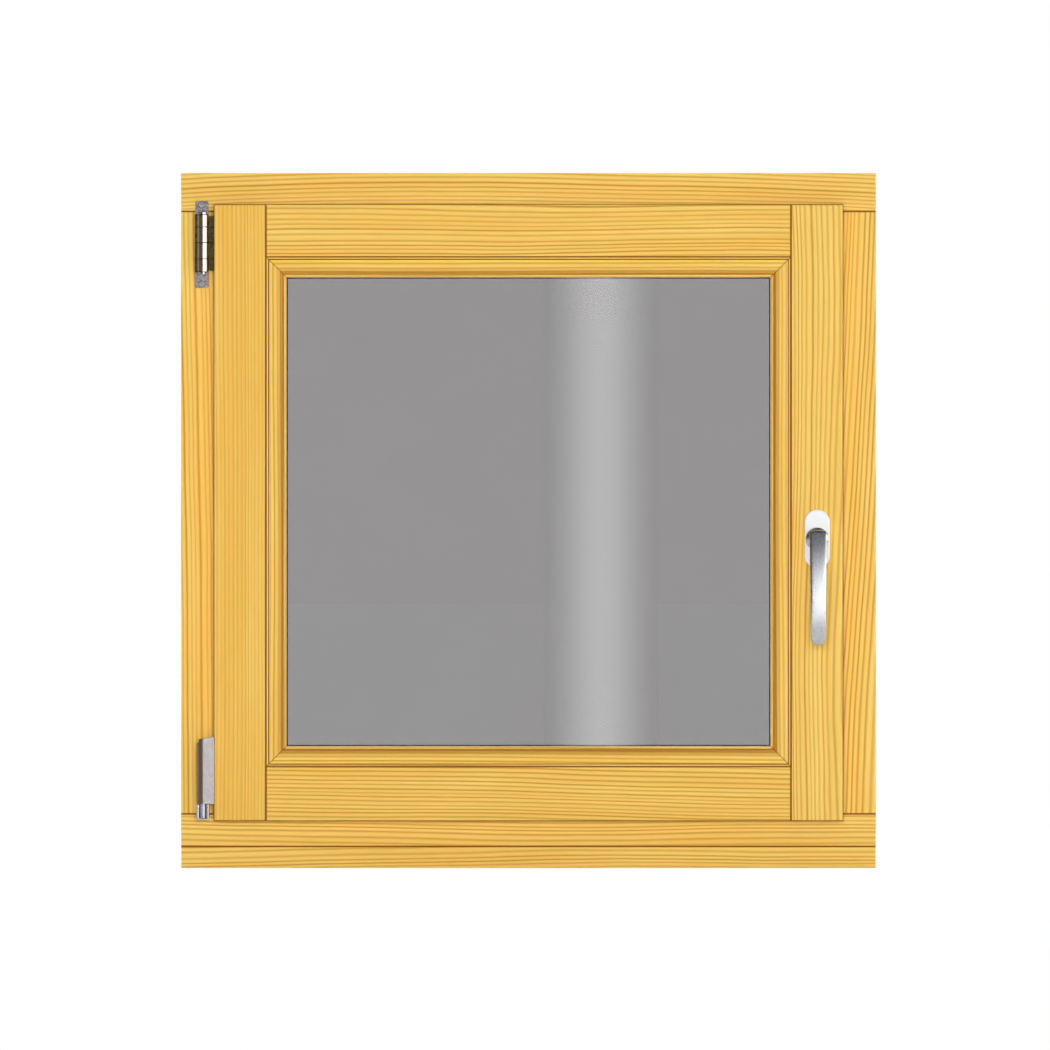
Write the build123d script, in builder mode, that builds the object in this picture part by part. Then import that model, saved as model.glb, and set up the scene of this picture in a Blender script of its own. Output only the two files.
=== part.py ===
"""Single-sash pine window with a glued corner frame, an overlapping sash, double glazing,
a two-part hinge on the left, a lever handle on the right and a rain rail on the outside.

Millimetres. X runs to the right as seen from the room, Y runs outdoors, Z is up.
The origin is on the underside of the base board, at mid width and at mid depth of the frame.
"""

from build123d import *
import os
from math import radians, sqrt, tan

# Outer frame
FRAME_WIDTH = 780.0
FRAME_HEIGHT = 780.0  # base board included
FRAME_DEPTH = 68.0
JAMB_FACE = 44.5  # width of the inner face before the rebate
HEAD_FACE = 43.0
SILL_FACE = 36.5
MID_STEP = 21.5  # how far the second rebate step reaches past the face
OUTER_STOP = 12.0  # how far the outer stop reaches past the second step
SILL_SLOPE = 15.0  # degrees of fall on the sill under the rain rail
BOARD_HEIGHT = 24.0
BOARD_DEPTH = 56.0
BOARD_GROOVE = 8.0
DRIP_WIDTH = 4.0
DRIP_DEPTH = 3.0

# Sash
LIP_COVER = 7.0  # how far the sash lip covers the frame face
REBATE_AIR = 12.0
LIP_THICKNESS = 18.0
LIP_GAP = 2.0  # filled by the overlap seal
SASH_DEPTH = 68.0
SASH_STEP_DEPTH = 40.5  # from the sash's inner face to its second step
STEP_AIR = 4.0
STOP_AIR = 4.0
BOTTOM_POCKET = 11.5  # depth of the seal pocket under the sash, along Y
BOTTOM_NOSE_RISE = 21.0  # outer nose above the lip's lower edge
STILE_FACE = 58.3
TOP_RAIL_FACE = 58.5
BOTTOM_RAIL_FACE = 60.6

# Glazing
BEAD_WIDTH = 21.9
BEAD_DEPTH = 18.0
BEAD_STRIP = 3.4  # lowered strip beside the sash member
BEAD_STRIP_DROP = 1.0
BEAD_CHAMFER = 0.8
BEAD_QUIRK = 1.0  # width and depth of the fine groove between strip and flat
BEAD_FLAT = 8.6
BEAD_EDGE = 1.7  # flat edge next to the glass
BEAD_EDGE_DROP = 8.0
SLOPE_SWELL = 0.14  # how far the moulding swells past a straight slope, as a share of it
GLAZING_SEAL = 3.0
GLAZING_SEAL_WIDTH = 9.0
SEAL_SHOW = 0.8  # how far a glazing seal shows past the wood
PANE = 4.0
CAVITY = 16.0
GLASS_CLEARANCE = 5.0
SPACER_INSET = 11.5  # from the glass edge to the spacer
SPACER_WIDTH = 7.2

# Edges
ARRIS = 2.0
SHARP_ARRIS = 0.8
GROOVE = 0.9  # half width and depth of the V joint between members
SEAL_PEEK = 0.9  # how far the overlap seal shows past the sash lip
SEAL_WIDTH = 6.0

# Rain rail
RAIL_WALL = 1.8
RAIL_FRONT_RISE = 20.0  # front wall above the sill's face height
RAIL_AIR = 2.0  # under the sash
RAIL_NOSE = 2.5  # overhang past the frame's outer face
RAIL_NOSE_DROP = 7.0
RAIL_CAP = 5.0
DRAIN_LENGTH = 26.0
DRAIN_HEIGHT = 5.0
DRAIN_COUNT = 3

# Hinges
HINGE_OFFSET = 12.7  # hinge line to the sash's left edge
HINGE_STANDOFF = 13.5  # hinge line in front of the frame face
BARREL_RADIUS = 6.35
HINGE_PIN_RADIUS = 3.0
PIN_CLEARANCE = 0.1
KNUCKLE_GAP = 0.4
PLATE = 2.5
BRACKET_WIDTH = 15.0
BRACKET_HEIGHT = 97.4
BRACKET_TOP_DROP = 31.5  # bracket's top end below the frame's top
BARREL_DROP = 15.2  # barrel's top end below the bracket's top
END_KNUCKLES = (14.3, 14.9)  # upper and lower
MIDDLE_KNUCKLES = (17.6, 18.1)
PIN_HEAD = 2.8
PIN_HEAD_RADIUS = 5.1
ARM_THICKNESS = 3.5
ARM_SETBACK = 0.8  # from the hinge line back to the arm's front
LEAF_INSET = 1.8  # arm leaf's ends inside the barrel's ends
SCREW_HEAD_RADIUS = 3.4
SCREW_RECESS = 1.3
SCREW_RECESS_WIDTH = 1.0
SCREW_RECESS_LENGTH = 3.8
SCREW_RADIUS = 2.0
SCREW_LENGTH = 25.0
SCREW_EDGE = 4.2  # screw axis from the bracket's end
BAND_RADIUS = 7.0
BAND_PLATE = 5.5
BAND_HEIGHT = 75.2
BAND_RISE = 18.8  # band's lower end above the sash's lower edge
BAND_SLANT = 2.6
BAND_NOTCH = 8.0
BAND_NOTCH_WIDTH = 2.8
BEARING_HEIGHT = 18.4
BEARING_PIN_RADIUS = 3.5
BEARING_CHEEK = 2.7
BEARING_PLATE_HEIGHT = 46.0

# Handle
HANDLE_HEIGHT = 369.2
ROSETTE_WIDTH = 28.0
ROSETTE_HEIGHT = 66.0
ROSETTE_DEPTH = 10.0
JOURNAL_RADIUS = 9.2
JOURNAL_CLEARANCE = 0.3
COLLAR_RADIUS = 13.2
COLLAR_DEPTH = 4.0
NECK_RADIUS = 8.6
HANDLE_STANDOFF = 58.0  # front of the grip from the sash face
GRIP_THICKNESS = 11.0
GRIP_TOP_HALF = 9.8
GRIP_END_HALF = 8.2
GRIP_LENGTH = 118.9  # spindle axis to the tip
GRIP_FRONT_ROUND = 4.0
GRIP_BACK_ROUND = 2.5
ELBOW_RADIUS = 15.0
SPINDLE = 7.0
SPINDLE_LENGTH = 40.0
SPINDLE_CLEARANCE = 1.0

# Planes of the section, front to back
FRAME_IN = -FRAME_DEPTH / 2
FRAME_OUT = FRAME_DEPTH / 2
LIP_BACK = FRAME_IN - LIP_GAP
SASH_IN = LIP_BACK - LIP_THICKNESS
SASH_OUT = SASH_IN + SASH_DEPTH
SASH_STEP = SASH_IN + SASH_STEP_DEPTH
FRAME_STEP = SASH_STEP + STEP_AIR
FRAME_STOP = SASH_OUT + STOP_AIR
GLASS_UNIT = PANE + CAVITY + PANE
BEAD_BACK = SASH_IN + BEAD_DEPTH
GLASS_IN = BEAD_BACK + GLAZING_SEAL
GLASS_OUT = GLASS_IN + GLASS_UNIT
STOP_FRONT = GLASS_OUT + GLAZING_SEAL

# Heights and widths of the members
HALF_FRAME = FRAME_WIDTH / 2
SILL_TOP = BOARD_HEIGHT + SILL_FACE
HEAD_BOTTOM = FRAME_HEIGHT - HEAD_FACE
HALF_FACE = HALF_FRAME - JAMB_FACE
HALF_STEP = HALF_FACE - MID_STEP
HALF_STOP = HALF_STEP - OUTER_STOP
HALF_SASH = HALF_FACE + LIP_COVER
SASH_BOTTOM = SILL_TOP - LIP_COVER
SASH_TOP = HEAD_BOTTOM + LIP_COVER
SASH_HEIGHT = SASH_TOP - SASH_BOTTOM
LIP_WIDTH = LIP_COVER + REBATE_AIR
STEP_INSET = LIP_COVER + MID_STEP + STEP_AIR
HALF_REBATE = HALF_SASH - STILE_FACE
REBATE_BOTTOM = SASH_BOTTOM + BOTTOM_RAIL_FACE
REBATE_TOP = SASH_TOP - TOP_RAIL_FACE
HALF_SIGHT = HALF_REBATE - BEAD_WIDTH
SIGHT_BOTTOM = REBATE_BOTTOM + BEAD_WIDTH
SIGHT_TOP = REBATE_TOP - BEAD_WIDTH
SASH_MIDDLE = (SASH_BOTTOM + SASH_TOP) / 2
CUT = FRAME_WIDTH + FRAME_HEIGHT  # longer than any member


def save(part, label):
    """Labels a finished piece and writes it to its own file."""
    part.label = label
    export_step(part, f"parts/{label}.step")


def block(low, high, mode=Mode.ADD):
    """Box between two corners, added to the part that is open."""
    size = [b - a for a, b in zip(low, high)]
    with Locations(low):
        Box(*size, align=(Align.MIN, Align.MIN, Align.MIN), mode=mode)


def prism_x(points, half_length, mode=Mode.ADD):
    """Straight piece along X with a (Y, Z) outline, centred on X = 0."""
    with BuildSketch(Plane.YZ.offset(-half_length)) as outline:
        with BuildLine():
            Polyline(*points, close=True)
        make_face()
    extrude(outline.sketch, amount=2 * half_length, mode=mode)


def groove(start, direction, length=CUT):
    """V-shaped bar along a joint line, centred on it."""
    with BuildSketch(Plane(start, x_dir=(0, 1, 0), z_dir=direction)) as diamond:
        Rectangle(GROOVE * sqrt(2), GROOVE * sqrt(2), rotation=45)
    extrude(diamond.sketch, amount=length / 2, both=True)


def border_sides(half_width, bottom, top):
    """The four sides of an upright rectangle: name, start corner, direction and length."""
    width, height = 2 * half_width, top - bottom
    return [
        ("bottom", (half_width, 0, bottom), (-1, 0, 0), width),
        ("left", (-half_width, 0, bottom), (0, 0, 1), height),
        ("top", (-half_width, 0, top), (1, 0, 0), width),
        ("right", (half_width, 0, top), (0, 0, -1), height),
    ]


def mitred_strip(section, corner, along, length, width):
    """One side of a mitred border. The section's X runs inwards from the outer edge, its Y is Y."""
    inward = Vector(0, 1, 0).cross(Vector(*along))
    with BuildPart() as strip:
        with BuildSketch(Plane(corner, x_dir=inward, z_dir=along)):
            add(section)
        extrude(amount=length)
        with BuildSketch(Plane(corner, x_dir=along, z_dir=(0, 1, 0))):
            Polygon((0, 0), (length, 0), (length - width, width), (width, width), align=None)
        extrude(amount=FRAME_DEPTH, both=True, mode=Mode.INTERSECT)
    return strip.part


def border(section, half_width, bottom, top, width):
    """All four mitred strips of a border, as one part of four solids."""
    with BuildPart() as strips:
        for _, corner, along, length in border_sides(half_width, bottom, top):
            add(mitred_strip(section, corner, along, length, width))
    return strips.part


def sill_surface(y):
    """Height of the sloping sill at a given Y."""
    return SILL_TOP - max(0.0, y - FRAME_STEP) * tan(radians(SILL_SLOPE))


os.makedirs("parts", exist_ok=True)

# The outer frame is shaped as one ring, then parted into its four members
with BuildPart() as frame_blank:
    block((-HALF_FRAME, FRAME_IN, BOARD_HEIGHT), (HALF_FRAME, FRAME_OUT, FRAME_HEIGHT))
    block((-HALF_FACE, FRAME_IN, SILL_TOP), (HALF_FACE, FRAME_STEP, HEAD_BOTTOM), Mode.SUBTRACT)
    for half, low_y, high_y, top in (
        (HALF_STEP, FRAME_STEP, FRAME_STOP, HEAD_BOTTOM - MID_STEP),
        (HALF_STOP, FRAME_STOP, FRAME_OUT, HEAD_BOTTOM - MID_STEP - OUTER_STOP),
    ):
        outline = [
            (low_y, sill_surface(low_y)),
            (high_y, sill_surface(high_y)),
            (high_y, top),
            (low_y, top),
        ]
        prism_x(outline, half, Mode.SUBTRACT)
    outer_face = frame_blank.faces().sort_by(Axis.Y)[-1]
    fillet(outer_face.inner_wires()[0].edges(), ARRIS)
    inner_face = frame_blank.faces().sort_by(Axis.Y)[0]
    fillet(inner_face.inner_wires()[0].edges(), SHARP_ARRIS)

with BuildPart() as frame_grooves:
    for height in (BOARD_HEIGHT, SILL_TOP, HEAD_BOTTOM):
        groove((0, FRAME_IN, height), (1, 0, 0))
    for height in (sill_surface(FRAME_OUT), HEAD_BOTTOM - MID_STEP - OUTER_STOP):
        groove((0, FRAME_OUT, height), (1, 0, 0))

with BuildPart() as head_region:
    head_steps = [
        (FRAME_IN, FRAME_HEIGHT),
        (FRAME_IN, HEAD_BOTTOM),
        (FRAME_STEP, HEAD_BOTTOM),
        (FRAME_STEP, HEAD_BOTTOM - MID_STEP),
        (FRAME_STOP, HEAD_BOTTOM - MID_STEP),
        (FRAME_STOP, HEAD_BOTTOM - MID_STEP - OUTER_STOP),
        (FRAME_OUT, HEAD_BOTTOM - MID_STEP - OUTER_STOP),
        (FRAME_OUT, FRAME_HEIGHT),
    ]
    prism_x(head_steps, HALF_FRAME)

with BuildPart() as sill_region:
    sill_steps = [
        (FRAME_IN, BOARD_HEIGHT),
        (FRAME_IN, SILL_TOP),
        (FRAME_STEP, SILL_TOP),
        (FRAME_OUT, sill_surface(FRAME_OUT)),
        (FRAME_OUT, BOARD_HEIGHT),
    ]
    prism_x(sill_steps, HALF_FRAME)

# Hinge line and the places that hang on it
HINGE_X = -HALF_SASH - HINGE_OFFSET
HINGE_Y = FRAME_IN - HINGE_STANDOFF
BRACKET_LEFT = HINGE_X - BARREL_RADIUS - PLATE
BRACKET_TOP = FRAME_HEIGHT - BRACKET_TOP_DROP
BRACKET_BOTTOM = BRACKET_TOP - BRACKET_HEIGHT
BARREL_TOP = BRACKET_TOP - BARREL_DROP
KNUCKLE_TOP = BARREL_TOP - END_KNUCKLES[0]
KNUCKLE_BOTTOM = KNUCKLE_TOP - sum(MIDDLE_KNUCKLES)
BARREL_BOTTOM = KNUCKLE_BOTTOM - END_KNUCKLES[1]
SCREW_X = BRACKET_LEFT + BRACKET_WIDTH / 2
SCREW_HEIGHTS = (BRACKET_TOP - SCREW_EDGE, BRACKET_BOTTOM + SCREW_EDGE)
PLATE_FRONT = FRAME_IN - PLATE


def screw_holes(radius, depth):
    """Holes for the bracket screws, from the plate's front into the frame."""
    for height in SCREW_HEIGHTS:
        with BuildSketch(Plane((SCREW_X, PLATE_FRONT, height), z_dir=(0, 1, 0))) as hole:
            Circle(radius)
        extrude(hole.sketch, amount=depth, mode=Mode.SUBTRACT)


with BuildPart() as frame_head:
    add(frame_blank.part)
    add(head_region.part, mode=Mode.INTERSECT)
    add(frame_grooves.part, mode=Mode.SUBTRACT)
    screw_holes(SCREW_RADIUS, PLATE + SCREW_LENGTH)
save(frame_head.part, "frame_head")

with BuildPart() as frame_sill:
    add(frame_blank.part)
    add(sill_region.part, mode=Mode.INTERSECT)
    add(frame_grooves.part, mode=Mode.SUBTRACT)
    drip_front = FRAME_OUT - 2 * DRIP_WIDTH
    block(
        (-HALF_FRAME, drip_front, BOARD_HEIGHT),
        (HALF_FRAME, drip_front + DRIP_WIDTH, BOARD_HEIGHT + DRIP_DEPTH),
        Mode.SUBTRACT,
    )
save(frame_sill.part, "frame_sill")

for name, low_x, high_x in (
    ("frame_jamb_left", -HALF_FRAME, 0.0),
    ("frame_jamb_right", 0.0, HALF_FRAME),
):
    with BuildPart() as jamb:
        add(frame_blank.part)
        block((low_x, FRAME_IN, BOARD_HEIGHT), (high_x, FRAME_OUT, FRAME_HEIGHT), Mode.INTERSECT)
        add(head_region.part, mode=Mode.SUBTRACT)
        add(sill_region.part, mode=Mode.SUBTRACT)
        add(frame_grooves.part, mode=Mode.SUBTRACT)
        screw_holes(SCREW_RADIUS, PLATE + SCREW_LENGTH)
    save(jamb.part, name)

# Board under the sill, with a groove for the outer window board
with BuildPart() as base_board:
    block((-HALF_FRAME, FRAME_IN, 0), (HALF_FRAME, FRAME_IN + BOARD_DEPTH, BOARD_HEIGHT))
    add(frame_grooves.part, mode=Mode.SUBTRACT)
    groove_low = (BOARD_HEIGHT - BOARD_GROOVE) / 2
    block(
        (-HALF_FRAME, FRAME_IN + BOARD_DEPTH - BOARD_GROOVE, groove_low),
        (HALF_FRAME, FRAME_IN + BOARD_DEPTH, groove_low + BOARD_GROOVE),
        Mode.SUBTRACT,
    )
save(base_board.part, "base_board")

# The sash is also shaped as one ring: lip, rebate body and outer body, then the glazing rebate
with BuildPart() as sash_blank:
    block((-HALF_SASH, SASH_IN, SASH_BOTTOM), (HALF_SASH, LIP_BACK, SASH_TOP))
    block(
        (-HALF_SASH + LIP_WIDTH, LIP_BACK, SASH_BOTTOM + LIP_WIDTH),
        (HALF_SASH - LIP_WIDTH, SASH_STEP, SASH_TOP - LIP_WIDTH),
    )
    block(
        (-HALF_SASH + STEP_INSET, SASH_STEP, SASH_BOTTOM + STEP_INSET),
        (HALF_SASH - STEP_INSET, SASH_OUT, SASH_TOP - STEP_INSET),
    )
    block(
        (-HALF_SASH + STEP_INSET, SASH_STEP + BOTTOM_POCKET, SASH_BOTTOM + BOTTOM_NOSE_RISE),
        (HALF_SASH - STEP_INSET, SASH_OUT, SASH_MIDDLE),
    )
    block((-HALF_REBATE, SASH_IN, REBATE_BOTTOM), (HALF_REBATE, STOP_FRONT, REBATE_TOP), Mode.SUBTRACT)
    block((-HALF_SIGHT, STOP_FRONT, SIGHT_BOTTOM), (HALF_SIGHT, SASH_OUT, SIGHT_TOP), Mode.SUBTRACT)
    front = sash_blank.faces().sort_by(Axis.Y)[0]
    fillet(front.outer_wire().edges(), ARRIS)
    back = sash_blank.faces().sort_by(Axis.Y)[-1]
    fillet(back.outer_wire().edges() + back.inner_wires()[0].edges(), ARRIS)
    nose_drip = SASH_OUT - 2 * DRIP_WIDTH
    block(
        (-HALF_SASH + STEP_INSET, nose_drip, SASH_BOTTOM + BOTTOM_NOSE_RISE),
        (HALF_SASH - STEP_INSET, nose_drip + DRIP_WIDTH, SASH_BOTTOM + BOTTOM_NOSE_RISE + DRIP_DEPTH),
        Mode.SUBTRACT,
    )

with BuildPart() as sash_grooves:
    for side in (-1, 1):
        groove((side * HALF_REBATE, SASH_IN, SASH_MIDDLE), (0, 0, 1))
        groove((side * HALF_SIGHT, SASH_OUT, SASH_MIDDLE), (0, 0, 1))
    for height in (REBATE_BOTTOM, REBATE_TOP):
        groove((0, SASH_IN, height), (1, 0, 0), 2 * HALF_REBATE)

with BuildPart() as rails_region:
    block((-HALF_REBATE, SASH_IN, SASH_BOTTOM), (HALF_REBATE, STOP_FRONT, SASH_TOP))
    block((-HALF_SIGHT, STOP_FRONT, SASH_BOTTOM), (HALF_SIGHT, SASH_OUT, SASH_TOP))

HANDLE_X = HALF_SASH - STILE_FACE / 2
for name, low_x, high_x in (
    ("sash_stile_left", -HALF_SASH, 0.0),
    ("sash_stile_right", 0.0, HALF_SASH),
):
    with BuildPart() as stile:
        add(sash_blank.part)
        block((low_x, SASH_IN, SASH_BOTTOM), (high_x, SASH_OUT, SASH_TOP), Mode.INTERSECT)
        add(rails_region.part, mode=Mode.SUBTRACT)
        add(sash_grooves.part, mode=Mode.SUBTRACT)
        with BuildSketch(Plane((HANDLE_X, SASH_IN, HANDLE_HEIGHT), z_dir=(0, 1, 0))):
            Circle(SPINDLE / sqrt(2) + SPINDLE_CLEARANCE)
        extrude(amount=SPINDLE_LENGTH, mode=Mode.SUBTRACT)
    save(stile.part, name)

for name, low_z, high_z in (
    ("sash_rail_bottom", SASH_BOTTOM, SASH_MIDDLE),
    ("sash_rail_top", SASH_MIDDLE, SASH_TOP),
):
    with BuildPart() as rail:
        add(sash_blank.part)
        block((-HALF_SASH, SASH_IN, low_z), (HALF_SASH, SASH_OUT, high_z), Mode.INTERSECT)
        add(rails_region.part, mode=Mode.INTERSECT)
        add(sash_grooves.part, mode=Mode.SUBTRACT)
    save(rail.part, name)

# Moulded glazing beads: a lowered strip, a flat, a rounded slope and an edge beside the glass
BEAD_SLOPE = BEAD_WIDTH - BEAD_STRIP - BEAD_FLAT - BEAD_EDGE
with BuildSketch() as bead_section:
    with BuildLine():
        strip_y = SASH_IN + BEAD_STRIP_DROP
        flat_start = (BEAD_STRIP, SASH_IN)
        flat_end = (BEAD_STRIP + BEAD_FLAT, SASH_IN)
        edge_start = (BEAD_WIDTH - BEAD_EDGE, SASH_IN + BEAD_EDGE_DROP)
        swell_x = flat_end[0] + (0.5 + SLOPE_SWELL) * BEAD_SLOPE
        swell_y = SASH_IN + (0.5 - SLOPE_SWELL) * BEAD_EDGE_DROP
        ThreePointArc(flat_end, (swell_x, swell_y), edge_start)
        Polyline(
            edge_start,
            (BEAD_WIDTH, SASH_IN + BEAD_EDGE_DROP),
            (BEAD_WIDTH, BEAD_BACK),
            (0, BEAD_BACK),
            (0, strip_y + BEAD_CHAMFER),
            (BEAD_CHAMFER, strip_y),
            (BEAD_STRIP - BEAD_QUIRK, strip_y),
            (BEAD_STRIP - BEAD_QUIRK / 2, strip_y + BEAD_QUIRK),
            flat_start,
            flat_end,
        )
    make_face()

for side, corner, along, length in border_sides(HALF_REBATE, REBATE_BOTTOM, REBATE_TOP):
    bead = mitred_strip(bead_section.sketch, corner, along, length, BEAD_WIDTH)
    save(bead, f"glazing_bead_{side}")

# Seals on both faces of the glass and the seal between sash lip and frame
GLASS_HALF = HALF_REBATE - GLASS_CLEARANCE
GLASS_BOTTOM = REBATE_BOTTOM + GLASS_CLEARANCE
GLASS_TOP = REBATE_TOP - GLASS_CLEARANCE
for name, low_y in (("inner_glazing_seal", BEAD_BACK), ("outer_glazing_seal", GLASS_OUT)):
    with BuildSketch() as seal_section:
        with Locations((0, low_y)):
            Rectangle(GLAZING_SEAL_WIDTH, GLAZING_SEAL, align=(Align.MIN, Align.MIN))
    outset = GLAZING_SEAL_WIDTH - SEAL_SHOW
    seal = border(
        seal_section.sketch,
        HALF_SIGHT + outset,
        SIGHT_BOTTOM - outset,
        SIGHT_TOP + outset,
        GLAZING_SEAL_WIDTH,
    )
    save(seal, name)

with BuildSketch() as lip_seal_section:
    with Locations((0, LIP_BACK)):
        Rectangle(SEAL_WIDTH, LIP_GAP, align=(Align.MIN, Align.MIN))
overlap_seal = border(
    lip_seal_section.sketch,
    HALF_SASH + SEAL_PEEK,
    SASH_BOTTOM - SEAL_PEEK,
    SASH_TOP + SEAL_PEEK,
    SEAL_WIDTH,
)
save(overlap_seal, "overlap_seal")

# Double glazing
for name, low_y in (("glass_pane_inner", GLASS_IN), ("glass_pane_outer", GLASS_OUT - PANE)):
    with BuildPart() as pane:
        block((-GLASS_HALF, low_y, GLASS_BOTTOM), (GLASS_HALF, low_y + PANE, GLASS_TOP))
    save(pane.part, name)

with BuildSketch() as spacer_section:
    with Locations((0, GLASS_IN + PANE)):
        Rectangle(SPACER_WIDTH, CAVITY, align=(Align.MIN, Align.MIN))
spacer = border(
    spacer_section.sketch,
    GLASS_HALF - SPACER_INSET,
    GLASS_BOTTOM + SPACER_INSET,
    GLASS_TOP - SPACER_INSET,
    SPACER_WIDTH,
)
save(spacer, "glass_spacer")

# Rain rail: back flange, sloping deck, front wall and drip nose
RAIL_HALF = HALF_STOP - RAIL_CAP
RAIL_BACK = FRAME_STEP
WALL_FRONT = FRAME_STOP + RAIL_WALL
NOSE_Y = FRAME_OUT + RAIL_NOSE
NOSE_TOP = sill_surface(NOSE_Y) + RAIL_WALL
RAIL_TOP = SILL_TOP + RAIL_FRONT_RISE
FLANGE_FRONT = RAIL_BACK + RAIL_WALL
FLANGE_TOP = SASH_BOTTOM + STEP_INSET - RAIL_AIR
CAP_TOP = SASH_BOTTOM + BOTTOM_NOSE_RISE - RAIL_AIR
rail_outline = [
    (RAIL_BACK, SILL_TOP),
    (RAIL_BACK, FLANGE_TOP),
    (FLANGE_FRONT, FLANGE_TOP),
    (FLANGE_FRONT, sill_surface(FLANGE_FRONT) + RAIL_WALL),
    (FRAME_STOP, sill_surface(FRAME_STOP) + RAIL_WALL),
    (FRAME_STOP, RAIL_TOP),
    (WALL_FRONT, RAIL_TOP),
    (WALL_FRONT, sill_surface(WALL_FRONT) + RAIL_WALL),
    (NOSE_Y, NOSE_TOP),
    (NOSE_Y, NOSE_TOP - RAIL_NOSE_DROP),
    (NOSE_Y - RAIL_WALL, NOSE_TOP - RAIL_NOSE_DROP),
    (NOSE_Y - RAIL_WALL, sill_surface(NOSE_Y - RAIL_WALL)),
]
with BuildPart() as rain_rail:
    prism_x(rail_outline, RAIL_HALF)
    drain_low = sill_surface(WALL_FRONT) + RAIL_WALL
    drain_pitch = 2 * RAIL_HALF / DRAIN_COUNT
    for i in range(DRAIN_COUNT):
        middle = (i - (DRAIN_COUNT - 1) / 2) * drain_pitch
        block(
            (middle - DRAIN_LENGTH / 2, FRAME_STOP, drain_low),
            (middle + DRAIN_LENGTH / 2, WALL_FRONT, drain_low + DRAIN_HEIGHT),
            Mode.SUBTRACT,
        )
save(rain_rail.part, "rain_rail")

cap_outline = [
    (RAIL_BACK, SILL_TOP),
    (RAIL_BACK, FLANGE_TOP),
    (FLANGE_FRONT, FLANGE_TOP),
    (FLANGE_FRONT, CAP_TOP),
    (FRAME_STOP, CAP_TOP),
    (FRAME_STOP, RAIL_TOP),
    (WALL_FRONT, RAIL_TOP),
    (NOSE_Y, NOSE_TOP),
    (NOSE_Y, sill_surface(NOSE_Y)),
]
for name, side in (("rain_rail_cap_left", -1), ("rain_rail_cap_right", 1)):
    with BuildPart() as cap:
        with BuildSketch(Plane.YZ.offset(side * RAIL_HALF)):
            with BuildLine():
                Polyline(*cap_outline, close=True)
            make_face()
        extrude(amount=side * RAIL_CAP)
    save(cap.part, name)


def barrel(low_z, high_z, radius, mode=Mode.ADD):
    """Round bar on the hinge line, for knuckles, pins and bores."""
    with BuildSketch(Plane((HINGE_X, HINGE_Y, low_z))) as circle:
        Circle(radius)
    extrude(circle.sketch, amount=high_z - low_z, mode=mode)


# Upper hinge: a bracket on the frame, an arm on the sash and the pin through both
with BuildPart() as hinge_bracket:
    block(
        (BRACKET_LEFT, PLATE_FRONT, BRACKET_BOTTOM),
        (BRACKET_LEFT + BRACKET_WIDTH, FRAME_IN, BRACKET_TOP),
    )
    plate_corners = hinge_bracket.edges().filter_by(Axis.Y)
    fillet(plate_corners, ARRIS)
    block((BRACKET_LEFT, HINGE_Y, BARREL_BOTTOM), (BRACKET_LEFT + PLATE, FRAME_IN, BARREL_TOP))
    for low_z, high_z in (
        (KNUCKLE_TOP + KNUCKLE_GAP, BARREL_TOP),
        (BARREL_BOTTOM, KNUCKLE_BOTTOM - KNUCKLE_GAP),
    ):
        block((BRACKET_LEFT, HINGE_Y, low_z), (HINGE_X, PLATE_FRONT, high_z))
        barrel(low_z, high_z, BARREL_RADIUS)
    barrel(BRACKET_BOTTOM, BRACKET_TOP, HINGE_PIN_RADIUS + PIN_CLEARANCE, Mode.SUBTRACT)
    for height in SCREW_HEIGHTS:
        with Locations(Plane((SCREW_X, PLATE_FRONT, height), z_dir=(0, -1, 0))):
            CounterSinkHole(SCREW_RADIUS + PIN_CLEARANCE, SCREW_HEAD_RADIUS + PIN_CLEARANCE)
save(hinge_bracket.part, "hinge_bracket")

ARM_LEFT = HINGE_X + BARREL_RADIUS + KNUCKLE_GAP
ARM_FRONT = HINGE_Y + ARM_SETBACK
ARM_BACK = ARM_FRONT + ARM_THICKNESS
with BuildPart() as hinge_arm:
    barrel(KNUCKLE_BOTTOM, KNUCKLE_TOP, BARREL_RADIUS)
    block((HINGE_X, ARM_FRONT, KNUCKLE_BOTTOM), (-HALF_SASH, ARM_BACK, KNUCKLE_TOP))
    block(
        (ARM_LEFT, ARM_FRONT, BARREL_BOTTOM + LEAF_INSET),
        (-HALF_SASH, ARM_BACK, BARREL_TOP - LEAF_INSET),
    )
    barrel(KNUCKLE_BOTTOM, KNUCKLE_TOP, HINGE_PIN_RADIUS + PIN_CLEARANCE, Mode.SUBTRACT)
    bush_line = KNUCKLE_TOP - MIDDLE_KNUCKLES[0]
    with BuildSketch(Plane((HINGE_X, HINGE_Y, bush_line))):
        Circle(BARREL_RADIUS + PLATE)
        Circle(BARREL_RADIUS - KNUCKLE_GAP, mode=Mode.SUBTRACT)
    extrude(amount=KNUCKLE_GAP, mode=Mode.SUBTRACT)
save(hinge_arm.part, "hinge_arm")

with BuildPart() as hinge_pin:
    with BuildSketch(Plane((HINGE_X, HINGE_Y, BARREL_BOTTOM - PIN_HEAD))):
        Circle(HINGE_PIN_RADIUS)
    extrude(amount=BARREL_TOP - BARREL_BOTTOM + PIN_HEAD)
    with BuildSketch(Plane((HINGE_X, HINGE_Y, BARREL_TOP))):
        Circle(PIN_HEAD_RADIUS)
    extrude(amount=PIN_HEAD)
    fillet(hinge_pin.faces().sort_by(Axis.Z)[-1].edges(), SHARP_ARRIS)
    fillet(hinge_pin.faces().sort_by(Axis.Z)[0].edges(), SHARP_ARRIS)
save(hinge_pin.part, "hinge_pin")

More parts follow.
